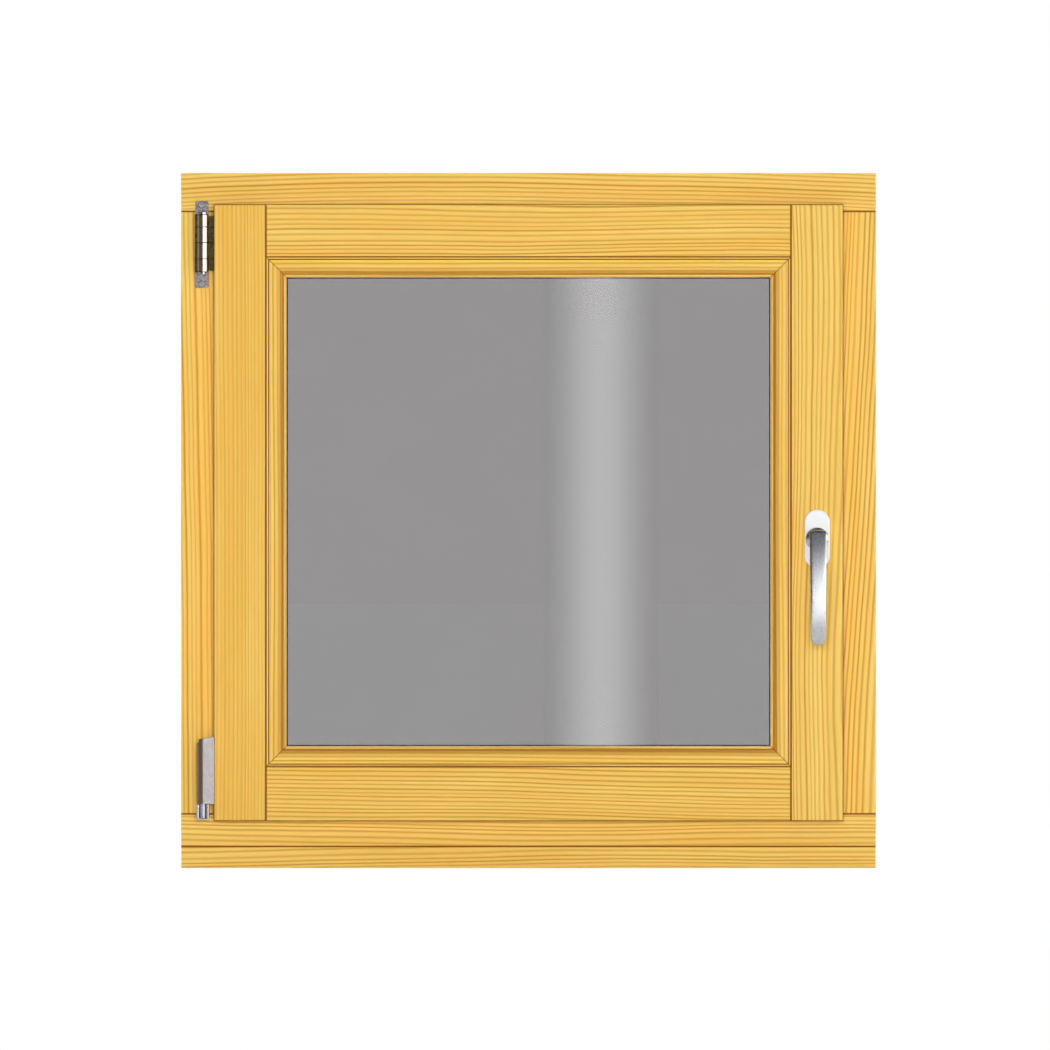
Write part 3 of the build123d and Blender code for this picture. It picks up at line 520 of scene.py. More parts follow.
@dataclass(frozen=True)
class WornMetal(Finish):
    """A metal with a mottled surface and fine scratches, such as plated steel or anodised aluminium.

    Attributes:
        colour: Its hex colour.
        dull_colour: The hex colour of its duller patches.
        roughness: Its mean roughness.
        spread: How far the roughness varies from patch to patch.
        patch: Size of the patches, in millimetres.
        brushed: Direction that brushing runs along, or None.
        relief: Height of the surface texture, in millimetres.
        painted_reflection_edge: X in millimetres left of which lies a brown painted reflection, or None.
    """

    colour: str
    dull_colour: str
    roughness: float
    spread: float = 0.1
    patch: float = 2.5
    brushed: Grain | None = None
    relief: float = 0.01
    painted_reflection_edge: float | None = None

    # Brown painted reflection of the wood on a curved metal side
    PAINTED_REFLECTION = "86704C"
    # Scratches to the millimetre along X, Y and Z, by the direction of brushing
    SCRATCHES = {None: (1.2, 1.2, 1.2), Grain.ALONG_Z: (3.0, 3.0, 0.06), Grain.ALONG_X: (0.06, 3.0, 3.0)}

    def surface(self, add: Adder) -> Socket:
        """Wires the finish and gives its shader."""
        in_mm = place_in_mm(add)
        patches = add("TexNoise", {
            "Vector": in_mm, "Scale": 1 / self.patch, "Detail": 4.0, "Roughness": 0.65})
        patches = add("MapRange", {"Value": patches, "From Min": 0.35, "From Max": 0.65})
        fine = add("VectorMath", {0: in_mm, 1: self.SCRATCHES[self.brushed]}, operation="MULTIPLY")
        scratches = add("TexNoise", {"Vector": fine, "Scale": 1.0, "Detail": 3.0})
        colour = add("Mix", {"Factor": patches, 6: self.colour, 7: self.dull_colour}, **IN_COLOUR)
        # Painted reflection: brown left of the edge, where the curved side would mirror the wood
        if self.painted_reflection_edge is not None:
            side = add("SeparateXYZ", {0: in_mm}).node.outputs["X"]
            painted_reflection_mask = add("MapRange", {
                "Value": side, "From Min": self.painted_reflection_edge + 0.5,
                "From Max": self.painted_reflection_edge - 0.7, "To Max": 0.9})
            colour = add("Mix", {"Factor": painted_reflection_mask, 6: colour, 7: self.PAINTED_REFLECTION}, **IN_COLOUR)
        worn = add("Math", {0: patches, 1: scratches}, operation="MULTIPLY")
        roughness = add("MapRange", {
            "Value": worn, "To Min": self.roughness - self.spread / 2,
            "To Max": self.roughness + self.spread})
        normal = add("Bump", {"Height": scratches, "Strength": 0.4, "Distance": self.relief * MM})
        return add("BsdfPrincipled", {
            "Base Color": colour, "Metallic": 1.0, "Roughness": roughness, "Normal": normal})


@dataclass(frozen=True)
class HingeSteel(Finish):
    """Nickel-plated hinge steel: mottled and dull on flat plates, polished on the turned barrel, and
    painted dark in the web and the leaf beside it, as painted shade and dark reflection. Painted shade
    darkens the gaps between the knuckles and rings round the screws.

    Attributes:
        plate_front: Y of the dull plates' face, in millimetres; what stands further out is polished.
        barrel: Left and right edge of the barrel, in millimetres; what lies beyond and stands out is
            painted dark.
        knuckle_gaps: Z of each gap between the barrel's knuckles, in millimetres.
        screws: X and Z of each screw's middle, in millimetres.
        screw_ring: Radius of the ring of painted shade round a screw, in millimetres.
    """

    plate_front: float
    barrel: tuple[float, float]
    knuckle_gaps: tuple[float, ...]
    screws: tuple[tuple[float, float], ...]
    screw_ring: float

    PLATE = "C8C4C8"
    PLATE_DULL = "88848C"
    BARREL = "CFC6B6"
    # Painted shade and dark reflection on the web and the leaf beside the barrel
    SHADED_LEAF = "6E6240"
    SHADED_LEAF_DULL = "42381E"
    # Painted shade in the gaps between knuckles and round the screw heads
    GAP_SHADE = "1A160E"
    # Size of the mottling and height of its relief, in millimetres
    MOTTLE = 2.2
    MOTTLE_RELIEF = 0.05
    # Roughness of the dull plates from their bright to their dark patches, the barrel and the painted-dark
    # web
    PLATE_ROUGHNESS = (0.36, 0.52)
    BARREL_ROUGHNESS = 0.16
    SHADED_LEAF_ROUGHNESS = 0.42
    # Distances at which the painted gap shade starts to fade and ends, in millimetres, and its share round
    # a screw
    GAP_SHADE_REACH = (0.22, 0.62)
    SCREW_SHADE_REACH = (0.05, 0.55, 0.7)

    def surface(self, add: Adder) -> Socket:
        """Wires the finish and gives its shader."""
        in_mm = place_in_mm(add)
        place = add("SeparateXYZ", {0: in_mm}).node.outputs
        polished = add("MapRange", {
            "Value": place["Y"], "From Min": self.plate_front - 0.4,
            "From Max": self.plate_front - 0.8})
        radius = (self.barrel[1] - self.barrel[0]) / 2
        beside = nearness(add, place["X"], sum(self.barrel) / 2, radius - 0.1, radius + 0.1)
        beside = add("Math", {0: 1.0, 1: beside}, operation="SUBTRACT")
        # Painted shade and dark reflection where the web and leaf stand out beside the barrel
        dark = add("Math", {0: beside, 1: polished}, operation="MULTIPLY")
        mottle = add("TexNoise", {
            "Vector": in_mm, "Scale": 1 / self.MOTTLE, "Detail": 4.0, "Roughness": 0.7})
        mottle = add("MapRange", {"Value": mottle, "From Min": 0.36, "From Max": 0.64})
        plate = add("Mix", {"Factor": mottle, 6: self.PLATE, 7: self.PLATE_DULL}, **IN_COLOUR)
        painted_dark = add("Mix", {"Factor": mottle, 6: self.SHADED_LEAF, 7: self.SHADED_LEAF_DULL}, **IN_COLOUR)
        colour = add("Mix", {"Factor": polished, 6: plate, 7: self.BARREL}, **IN_COLOUR)
        colour = add("Mix", {"Factor": dark, 6: colour, 7: painted_dark}, **IN_COLOUR)
        # Painted shade in the knuckle gaps and round the screws
        gap_shade = self._painted_gap_shade(add, place, polished)
        colour = add("Mix", {"Factor": gap_shade, 6: colour, 7: self.GAP_SHADE}, **IN_COLOUR)
        bright, dark_patch = self.PLATE_ROUGHNESS
        dull = add("MapRange", {"Value": mottle, "To Min": bright, "To Max": dark_patch})
        roughness = add("Mix", {"Factor": polished, 2: dull, 3: self.BARREL_ROUGHNESS})
        roughness = add("Mix", {"Factor": dark, 2: roughness, 3: self.SHADED_LEAF_ROUGHNESS})
        height = add("Mix", {"Factor": polished, 2: mottle, 3: 0.5})
        normal = add("Bump", {"Height": height, "Strength": 0.5, "Distance": self.MOTTLE_RELIEF * MM})
        return add("BsdfPrincipled", {
            "Base Color": colour, "Metallic": 1.0, "Roughness": roughness, "Normal": normal})

    def _painted_gap_shade(self, add: Adder, place: Sequence[Socket], polished: Socket) -> Socket:
        """Marks the gaps between knuckles and the rings round the screws, where shade is painted."""
        gaps: Value = 0.0
        for gap in self.knuckle_gaps:
            near = nearness(add, place["Z"], gap, *self.GAP_SHADE_REACH)
            gaps = add("Math", {0: gaps, 1: near}, operation="MAXIMUM")
        found = add("Math", {0: gaps, 1: polished}, operation="MULTIPLY")
        for side, up in self.screws:
            flat = add("CombineXYZ", {0: place["X"], 2: place["Z"]})
            away = add("VectorMath", {0: flat, 1: (side, 0.0, up)}, "Value", operation="DISTANCE")
            ring = nearness(add, away, self.screw_ring, *self.SCREW_SHADE_REACH)
            found = add("Math", {0: found, 1: ring}, operation="MAXIMUM")
        return found


@dataclass(frozen=True)
class TintedFloatGlass(Finish):
    """Solar-grey float glass: polished on both faces, so it mirrors faintly and greys what is behind.

    Attributes:
        tint: Hex colour of light that has passed through one pane.
        thin_tint: The same where the tint is slightly thinner.
    """

    name: str = "tinted_float_glass"
    tint: str = "C3C2C3"
    thin_tint: str = "C5C4C4"

    def surface(self, add: Adder) -> Socket:
        """Wires the finish and gives its shader."""
        in_mm = place_in_mm(add)
        haze = add("TexNoise", {"Vector": in_mm, "Scale": 1 / 120, "Detail": 1.0})
        colour = add("Mix", {"Factor": haze, 6: self.tint, 7: self.thin_tint}, **IN_COLOUR)
        return add("BsdfPrincipled", {
            "Base Color": colour, "Roughness": 0.0, "IOR": 1.5, "Transmission Weight": 1.0})


@dataclass(frozen=True)
class MouldedSurface(Finish):
    """A moulded, coated or extruded non-metal: powder coat, silicone, rubber or plastic.

    Attributes:
        colour: Its hex colour.
        shade: Hex colour of its darker places.
        roughness: Its roughness.
        grit: Size of its surface texture, in millimetres.
        relief: Height of that texture, in millimetres.
        coat: Weight of a clear gloss over it.
    """

    colour: str
    shade: str
    roughness: float
    grit: float = 0.6
    relief: float = 0.02
    coat: float = 0.0

    def surface(self, add: Adder) -> Socket:
        """Wires the finish and gives its shader."""
        in_mm = place_in_mm(add)
        clouds = add("TexNoise", {"Vector": in_mm, "Scale": 1 / 14, "Detail": 3.0})
        texture = add("TexNoise", {"Vector": in_mm, "Scale": 1 / self.grit, "Detail": 2.0})
        colour = add("Mix", {"Factor": clouds, 6: self.colour, 7: self.shade}, **IN_COLOUR)
        normal = add("Bump", {"Height": texture, "Strength": 0.3, "Distance": self.relief * MM})
        roughness = add("MapRange", {
            "Value": clouds, "To Min": self.roughness - 0.04, "To Max": self.roughness + 0.04})
        return add("BsdfPrincipled", {
            "Base Color": colour, "Roughness": roughness, "Normal": normal,
            "Coat Weight": self.coat, "Coat Roughness": 0.12})


def eased_copy(node: str, width: float) -> Piece:
    """Copies a CAD node with its sharp edges eased, and stands the copy in its place.

    Args:
        node: The CAD node, which rides on the window.
        width: How far each edge is cut back, in millimetres.

    Returns:
        The new piece.
    """
    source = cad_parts[node]
    bm = bmesh.new()
    bm.from_mesh(source.data)
    bmesh.ops.remove_doubles(bm, verts=bm.verts, dist=SAME_CORNER * MM)
    bmesh.ops.dissolve_limit(
        bm, angle_limit=FLAT_TURN, verts=bm.verts, edges=bm.edges, delimit=set())
    sharp = [e for e in bm.edges if e.is_manifold and e.calc_face_angle() > SHARP_TURN]
    bmesh.ops.bevel(bm, geom=sharp, offset=width * MM, segments=2, profile=0.5,
                    affect="EDGES", clamp_overlap=True, material=-1)
    bmesh.ops.recalc_face_normals(bm, faces=bm.faces)
    piece = new_piece(f"{node}_eased", bm, smooth_angle=HARD_SHADING)
    flats = piece.modifiers.new("flat_faces", "WEIGHTED_NORMAL")
    flats.keep_sharp = True
    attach(piece, "window")
    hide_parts(node)
    return piece


def new_piece(name: str, bm: bmesh.types.BMesh, smooth_angle: float = 180) -> Piece:
    """Makes an object from a bmesh.

    Args:
        name: The object's name.
        bm: Its shape, in place. It is freed.
        smooth_angle: Edges sharper than this many degrees stay sharp.

    Returns:
        The new object, at the origin.
    """
    for edge in bm.edges:
        edge.smooth = not edge.is_manifold or edge.calc_face_angle() < math.radians(smooth_angle)
    for face in bm.faces:
        face.smooth = True
    mesh = bpy.data.meshes.new(name)
    bm.to_mesh(mesh)
    bm.free()
    piece = bpy.data.objects.new(name, mesh)
    bpy.context.scene.collection.objects.link(piece)
    return piece


@dataclass
class TimberFrame:
    """The outer frame: head, sill, two jambs and the base board.

    Attributes:
        lamella: Thickness of a glued layer, in millimetres.
    """

    lamella: float = 68 / 3

    def build(self) -> None:
        """Dresses the five members, each with a grain of its own."""
        head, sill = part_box("frame_head"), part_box("frame_sill")
        left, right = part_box("frame_jamb_left"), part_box("frame_jamb_right")
        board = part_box("base_board")
        lip_left, lip_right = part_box("sash_stile_left")[0].x / MM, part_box("sash_stile_right")[1].x / MM
        lip_low, lip_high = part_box("sash_stile_left")[0].z / MM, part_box("sash_stile_left")[1].z / MM
        upper = JointAndShadeLine("Z", left[1].z / MM)
        lower = JointAndShadeLine("Z", sill[1].z / MM)
        base = JointAndShadeLine("Z", board[1].z / MM)
        # Painted shade: dark lines on the frame along the sash lip's edges, where the lip's step meets it
        over, under = (JointAndShadeLine("Z", at, 1.4, 0.8, lip_right, True) for at in (lip_high, lip_low))
        left_of, right_of = (JointAndShadeLine("X", at, 1.4, 0.8, room_side=True) for at in (lip_left, lip_right))
        members = [
            VarnishedPine("head", Grain.ALONG_X, head, ring_width=4.2, pith=(-88.0, 20.0),
                          bow=0.00006, seed=1.0, warmth=0.3, lamella=self.lamella,
                          joints=(upper, over)),
            VarnishedPine("sill", Grain.ALONG_X, sill, ring_width=4.9, pith=(-104.0, 24.0),
                          tilt=0.006, seed=2.0, warmth=0.32, lamella=self.lamella,
                          joints=(lower, base, under)),
            VarnishedPine("board", Grain.ALONG_X, board, ring_width=4.2, pith=(76.0, 20.0),
                          tilt=-0.004, seed=3.0, warmth=0.3, joints=(base,)),
            VarnishedPine("jamb_left", Grain.ALONG_Z, left, ring_width=4.7, pith=(-92.0, 18.0),
                          tilt=0.010, seed=4.0, warmth=0.46, lamella=self.lamella,
                          joints=(upper, lower, left_of)),
            VarnishedPine("jamb_right", Grain.ALONG_Z, right, ring_width=4.3, pith=(98.0, 18.0),
                          tilt=-0.052, seed=5.0, warmth=0.42, lamella=self.lamella,
                          joints=(upper, lower, right_of)),
        ]
        nodes = ("frame_head", "frame_sill", "base_board", "frame_jamb_left", "frame_jamb_right")
        for node, finish in zip(nodes, members):
            dress(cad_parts[node], finish.material())
        LOG.info("outer frame: %d members dressed", len(members))


@dataclass
class Sash:
    """The sash: two full-height stiles, two rails and four mitred glazing beads.

    Attributes:
        lamella: Thickness of a glued layer, in millimetres.
        quirk: Middle of the fine groove in each bead from its outer edge, in millimetres.
        slope: Start and end of each bead's slope and start of its lip from its outer edge, in
        millimetres. The slope gets painted shade.
    """

    lamella: float = 68 / 3
    quirk: float = 2.9
    slope: tuple[float, float, float] = (11.5, 18.9, 19.2)

    def build(self) -> None:
        """Dresses the stiles, the rails and the beads."""
        self._members()
        self._beads()

    def _members(self) -> None:
        """Dresses the stiles and the rails."""
        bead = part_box("glazing_bead_bottom")[0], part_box("glazing_bead_top")[1]
        sides = [JointAndShadeLine("X", corner.x / MM, room_side=True) for corner in bead]
        ends = [JointAndShadeLine("X", corner.x / MM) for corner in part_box("sash_rail_top")]
        low, high = (JointAndShadeLine("Z", corner.z / MM, room_side=True) for corner in bead)
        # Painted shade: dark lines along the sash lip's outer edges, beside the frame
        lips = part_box("sash_stile_left")[0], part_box("sash_stile_right")[1]
        edges = [JointAndShadeLine("X", corner.x / MM, 1.1, 0.7, room_side=True) for corner in lips]
        stiles = {
            "sash_stile_left": dict(ring_width=4.0, pith=(-110.0, 25.0), tilt=0.002, seed=6.0,
                                    warmth=0.72, contrast=0.65, waviness=0.5,
                                    joints=(sides[0], ends[0], edges[0])),
            "sash_stile_right": dict(ring_width=4.2, pith=(86.0, 25.0), tilt=0.006, seed=7.0,
                                     warmth=0.3, waviness=1.3, joints=(sides[1], ends[1], edges[1])),
        }
        rails = {
            "sash_rail_top": dict(ring_width=4.2, pith=(92.0, 25.0), tilt=-0.004, seed=8.0,
                                  warmth=0.5, joints=(*ends, high)),
            "sash_rail_bottom": dict(ring_width=4.3, pith=(-98.0, 25.0), tilt=0.016, seed=9.0,
                                     warmth=0.36, joints=(*ends, low)),
        }
        for grain, members in ((Grain.ALONG_Z, stiles), (Grain.ALONG_X, rails)):
            for node, values in members.items():
                finish = VarnishedPine(node, grain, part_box(node), lamella=self.lamella, **values)
                dress(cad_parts[node], finish.material())
        LOG.info("sash: %d members dressed", len(stiles) + len(rails))

    def _beads(self) -> None:
        """Dresses the glazing beads, with their quirk and mitre lines."""
        sides = {"left": -1, "right": 1, "bottom": -1, "top": 1}
        for number, (side, sign) in enumerate(sides.items()):
            node = f"glazing_bead_{side}"
            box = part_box(node)
            upright = side in ("left", "right")
            axis, grain = ("X", Grain.ALONG_Z) if upright else ("Z", Grain.ALONG_X)
            size = box[1] - box[0]
            low, high = (box[0].x, box[1].x) if upright else (box[0].z, box[1].z)
            outer = (high if sign > 0 else low) / MM
            half_length = (size.z if upright else size.x) / 2 / MM
            finish = VarnishedPine(
                node, grain, box, ring_width=4.6, pith=(-60.0 * sign, 22.0), seed=10.0 + number,
                warmth=0.45, waviness=0.7, contrast=0.9, mitre=half_length * sign,
                moulding=self.slope,
                joints=(JointAndShadeLine(axis, outer, 1.1, 0.8),
                        JointAndShadeLine(axis, outer - sign * self.quirk, 0.7, 0.75)))
            dress(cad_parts[node], finish.material())
        LOG.info("glazing beads: %d dressed", len(sides))


@dataclass
class Glazing:
    """The double glazing: two panes, the spacer between them and the seals."""

    def build(self) -> None:
        """Dresses the panes, the spacer and the seals."""
        glass = TintedFloatGlass().material()
        for node in ("glass_pane_inner", "glass_pane_outer"):
            dress(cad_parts[node], glass)
        spacer = WornMetal("rolled_aluminium_spacer", "E8E8EA", "D6D6D8", 0.5, patch=6.0)
        dress(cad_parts["glass_spacer"], spacer.material())
        silicone = MouldedSurface("tooled_silicone", "F0DAB4", "E4C696", 0.55, grit=3.0)
        for node in ("inner_glazing_seal", "outer_glazing_seal"):
            dress(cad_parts[node], silicone.material())
        rubber = MouldedSurface("extruded_brown_rubber", "7A4A14", "68400E", 0.7)
        dress(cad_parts["overlap_seal"], rubber.material())
        LOG.info("glazing: panes, spacer and seals dressed")


@dataclass
class Hinges:
    """The two hinges, whose CAD parts get eased edges and worn nickel plating.

    Attributes:
        ease: How far their edges are eased, in millimetres.
        plate_thickness: Thickness of the bracket's plates, in millimetres.
        knuckle_gaps: Height of each gap along the upper barrel, in millimetres.
    """

    ease: float = 0.25
    plate_thickness: float = 2.5
    knuckle_gaps: tuple[float, ...] = (668.7, 683.3, 701.4, 719.0, 732.8)

    def build(self) -> None:
        """Eases the bracket, arm, band and bearing, and dresses every hinge part."""
        pin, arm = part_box("bearing_pin"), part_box("hinge_arm")
        bracket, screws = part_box("hinge_bracket"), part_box("bracket_screws")
        line = (pin[0].x + pin[1].x) / 2 / MM
        radius = line - arm[0].x / MM
        head = (screws[1].x - screws[0].x) / 2 / MM
        screw_side = (screws[0].x + screws[1].x) / 2 / MM
        screw_ups = screws[0].z / MM + head, screws[1].z / MM - head
        upper = HingeSteel(
            "nickel_plated_hinge_steel", bracket[1].y / MM - self.plate_thickness,
            (line - radius, line + radius), self.knuckle_gaps,
            tuple((screw_side, up) for up in screw_ups), head + 0.3)
        # The band's curved left side gets a brown painted reflection of the wood
        lower = WornMetal("nickel_plated_band_steel", "E8E4E6", "C8C2C8", 0.24, 0.1, patch=2.0,
                          relief=0.02, painted_reflection_edge=line + 0.4)
        cheeks = WornMetal("nickel_plated_bearing_steel", "E8E4E6", "C8C2C8", 0.24, 0.1,
                           patch=2.0, relief=0.02)
        finishes = {"hinge_bracket": upper, "hinge_arm": upper, "corner_band": lower,
                    "corner_bearing": cheeks}
        made = {finish: finish.material() for finish in dict.fromkeys(finishes.values())}
        for node, finish in finishes.items():
            piece = eased_copy(node, self.ease)
            dress(piece, made[finish])
        bright = WornMetal("turned_steel_bright", "D0D4E0", "B4B8C6", 0.2, 0.08, patch=4.0).material()
        for node in ("hinge_pin", "bearing_pin"):
            dress(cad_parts[node], bright)
        screw = WornMetal("pressed_screw_steel", "C8C6C8", "8E8A90", 0.3, 0.12, patch=2.0).material()
        dress(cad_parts["bracket_screws"], screw)
        LOG.info("hinges: %d parts eased and dressed", len(finishes))


@dataclass
class LeverHandle:
    """The lever on its rosette. Sizes are in millimetres, out from the sash face and up from the
    spindle.

    Attributes:
        centre: The spindle's place on the sash face, in metres.
        neck_start: Where the neck leaves the collar.
        neck_radius: Radius of the neck.
        grip_bow: Radius of the long arc that the grip's middle line follows.
        grip_front: How far its front stands out where the arc is furthest out.
        grip_middle: Height of that place.
        grip_top: Height of its top end.
        top_round: Radius of the top end's corners.
        grip_width: Half width of the grip at its top and at its tip.
        grip_half: Half thickness of the grip at its top, its middle and its tip.
        grip_length: From the spindle down to the tip.
        squareness: Power of the grip's rounded-square cross-section, where 2 is an ellipse.
        ring_points: Points round each cross-section.
    """

    centre: Vector
    neck_start: float = 13.6
    neck_radius: float = 8.5
    grip_bow: float = 325.0
    grip_front: float = 57.9
    grip_middle: float = -80.0
    grip_top: float = 9.7
    top_round: float = 4.2
    grip_width: tuple[float, float] = (9.6, 8.2)
    grip_half: tuple[float, float, float] = (4.8, 5.5, 4.0)
    grip_length: float = 118.9
    squareness: float = 8.0
    ring_points: int = 28

    # How the neck swells: distance before its end, place up, added half width and half thickness in
    # millimetres, and squareness
    NECK_SWELL = ((20.0, 0.0, 0.0, 0.0, 2.0), (14.0, 0.0, 0.0, 0.0, 2.2), (9.0, -0.5, 0.2, 0.5, 2.6),
                  (6.0, -1.6, 0.3, 1.5, 3.0), (4.0, -3.4, 0.4, 3.2, 3.4), (2.0, -6.0, 0.4, 5.8, 3.6))
    # Half the collar's outline: radius and distance out, in millimetres
    COLLAR = ((0.0, 0.4), (9.2, 0.4), (9.2, 10.35), (12.4, 10.35), (13.0, 10.8), (13.1, 12.0),
              (12.7, 13.3), (11.6, 14.1), (10.0, 14.5), (8.9, 15.2), (8.4, 16.4), (0.0, 16.4))
    COLLAR_STEPS = 56
    GRIP_STEPS = 14
    END_STEPS = 6
    END_TURN = math.radians(84)
    END_SQUARENESS = 3.0

    def build(self) -> None:
        """Makes the lever, its neck and its collar, and dresses the whole handle."""
        aluminium = WornMetal("anodised_aluminium_satin", "E6E8EC", "DADDE2", 0.27, 0.03, patch=20.0,
                              brushed=Grain.ALONG_Z, relief=0.004).material()
        grip = self._loft("lever_grip", self._grip_sections())
        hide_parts("handle_lever")
        for piece in (grip, self._loft("lever_neck", self._neck_sections()), self._collar()):
            dress(piece, aluminium)
            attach(piece, "handle")
        coating = MouldedSurface("white_powder_coat", "FDFDFD", "F6F8FA", 0.3, grit=0.8, relief=0.01,
                                 coat=0.4)
        dress(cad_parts["handle_rosette"], coating.material())
        steel = WornMetal("drawn_steel_square", "A8A6A4", "8C8A88", 0.35)
        dress(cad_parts["handle_spindle"], steel.material())
        LOG.info("handle: lever, neck and collar made, rosette dressed")

    def _point(self, out: float, side: float, up: float) -> Vector:
        """Turns a place out, to the side and up, in millimetres, into the row frame."""
        return self.centre + Vector((side, -out, up)) * MM

    def _middle_out(self, height: float) -> float:
        """Gives how far out the grip's middle line is at a height."""
        lean = math.asin((height - self.grip_middle) / self.grip_bow)
        return self.grip_front - self.grip_half[1] - self.grip_bow * (1 - math.cos(lean))

    def _neck_sections(self) -> list[Section]:
        """Lists the cross-sections of the neck, which swells downwards where it meets the grip."""
        neck, end = self.neck_radius, self._middle_out(0.0)
        swelling = [(end - before, up, 0.0, neck + wider, neck + thicker, power)
                    for before, up, wider, thicker, power in self.NECK_SWELL]
        return [(self.neck_start, 0.0, 0.0, neck, neck, 2.0), *swelling]

    def _grip_sections(self) -> list[Section]:
        """Lists the cross-sections of the bowed grip from its top end to its rounded tip."""
        top, tip = self.grip_top - self.top_round, self.grip_width[1] - self.grip_length
        first, last = (math.acos((height - self.grip_middle) / self.grip_bow) for height in (top, tip))
        upper, middle, lower = self.grip_half
        body = []
        for i in range(self.GRIP_STEPS + 1):
            share = i / self.GRIP_STEPS
            turn = blend(first, last, share)
            height = self.grip_middle + self.grip_bow * math.cos(turn)
            end, end_half = (top, upper) if height > self.grip_middle else (tip, lower)
            away = (height - self.grip_middle) / (end - self.grip_middle)
            body.append((self._middle_out(height), height, turn, blend(*self.grip_width, share),
                         blend(middle, end_half, away ** 2), self.squareness))
        top_end = self._rounded_end(body[0], -1, self.top_round, 0.55)
        return [*reversed(top_end), *body, *self._rounded_end(body[-1], 1, self.grip_width[1], 0.85)]

    def _rounded_end(self, section: Section, way: int, radius: float, thinning: float) -> list[Section]:
        """Lists the cross-sections of a rounded end.

        Args:
            section: The last full cross-section.
            way: 1 to go on down from it, -1 to go up.
            radius: Radius of the end's corners, in millimetres.
            thinning: Share of the thickness that is lost towards the end.

        Returns:
            The cross-sections beyond it.
        """
        out, up, turn, width, thick, power = section
        found = []
        for i in range(1, self.END_STEPS + 1):
            share = i / self.END_STEPS
            angle = share * self.END_TURN
            travel, loss = way * radius * math.sin(angle), 1 - math.cos(angle)
            found.append((out + math.cos(turn) * travel, up - math.sin(turn) * travel, turn,
                          width - radius * loss, thick * (1 - thinning * loss),
                          blend(power, self.END_SQUARENESS, share)))
        return found

    def _loft(self, name: str, sections: list[Section]) -> Piece:
        """Lofts cross-sections in one closed skin.

        Args:
            name: The piece's name.
            sections: Its cross-sections, in order.

        Returns:
            The piece.
        """
        bm = bmesh.new()
        rings = [self._ring(bm, section) for section in sections]
        for pair in zip(rings, rings[1:]):
            bmesh.ops.bridge_loops(bm, edges=[edge for ring in pair for edge in ring])
        bmesh.ops.holes_fill(bm, edges=[*rings[0], *rings[-1]])
        bmesh.ops.recalc_face_normals(bm, faces=bm.faces)
        piece = new_piece(name, bm)
        smooth = piece.modifiers.new("smooth", "SUBSURF")
        smooth.levels = smooth.render_levels = 2
        return piece

    def _ring(self, bm: bmesh.types.BMesh, section: Section) -> list[bmesh.types.BMEdge]:
        """Adds the outline of one cross-section.

        Args:
            bm: Where to add it.
            section: Where it is and how large, as the lists of sections give it.

        Returns:
            The outline's edges.
        """
        out, up, turn, width, thick, power = section
        outward = Vector((0, -math.sin(turn), math.cos(turn)))
        centre = self._point(out, 0.0, up)
        circle = bmesh.ops.create_circle(bm, segments=self.ring_points, radius=1.0)["verts"]
        for vertex in circle:
            side, rise = (math.copysign(abs(part) ** (2 / power), part) for part in vertex.co.xy)
            vertex.co = centre + (Vector((side * width, 0, 0)) + outward * rise * thick) * MM
        return list({edge for vertex in circle for edge in vertex.link_edges})

    def _collar(self) -> Piece:
        """Turns the collar that runs in the rosette.

        Returns:
            The collar.
        """
        bm = bmesh.new()
        chain = [bm.verts.new(self._point(out, radius, 0.0)) for radius, out in self.COLLAR]
        edges = [bm.edges.new(pair) for pair in zip(chain, chain[1:])]
        bmesh.ops.spin(bm, geom=[*chain, *edges], cent=self.centre, axis=(0, 1, 0),
                       angle=2 * math.pi, steps=self.COLLAR_STEPS, use_merge=True)
        bmesh.ops.remove_doubles(bm, verts=bm.verts, dist=0.001 * MM)
        bmesh.ops.recalc_face_normals(bm, faces=bm.faces)
        return new_piece("lever_collar", bm, smooth_angle=HARD_SHADING)


@dataclass
class RainRail:
    """The rain rail on the outside of the sill, with its end caps.

    Attributes:
        ease: How far its edges are eased, in millimetres.
    """

    ease: float = 0.25

    def build(self) -> None:
        """Eases and dresses the rail, and dresses its caps."""
        anodised = WornMetal("anodised_aluminium_extrusion", "C4C6C8", "B2B5B8", 0.38, 0.1, patch=14.0,
                             brushed=Grain.ALONG_X, relief=0.008).material()
        rail = eased_copy("rain_rail", self.ease)
        dress(rail, anodised)
        plastic = MouldedSurface("moulded_cap_plastic", "8C8A86", "7C7A76", 0.5, grit=1.0).material()
        for side in ("left", "right"):
            cap = eased_copy(f"rain_rail_cap_{side}", self.ease)
            dress(cap, plastic)
        LOG.info("rain rail: rail and caps eased and dressed")


@dataclass(frozen=True)
class SoftBox:
    """A soft rectangular lamp aimed at the window. It lights it but isn't mirrored in it.

    Attributes:
        name: Its name.
        place: Where it stands, in metres.
        size: Width and height, in metres.
        level: What it adds to a white surface that faces it at the window, where 1 is white.
    """

    name: str
    place: Vector
    size: tuple[float, float]
    level: float

    def build(self, aim: Vector) -> None:
        """Makes the lamp.

        Args:
            aim: The point that it faces.
        """
        lamp = bpy.data.lights.new(self.name, "AREA")
        lamp.shape = "RECTANGLE"
        lamp.size, lamp.size_y = self.size
        distance = (aim - self.place).length
        lamp.energy = self.level * math.pi ** 2 * distance ** 2
        holder = bpy.data.objects.new(self.name, lamp)
        holder.location = self.place
        holder.rotation_euler = (aim - self.place).to_track_quat("-Z", "Y").to_euler()
        hide(holder, "camera", "transmission", "glossy")
        bpy.context.scene.collection.objects.link(holder)


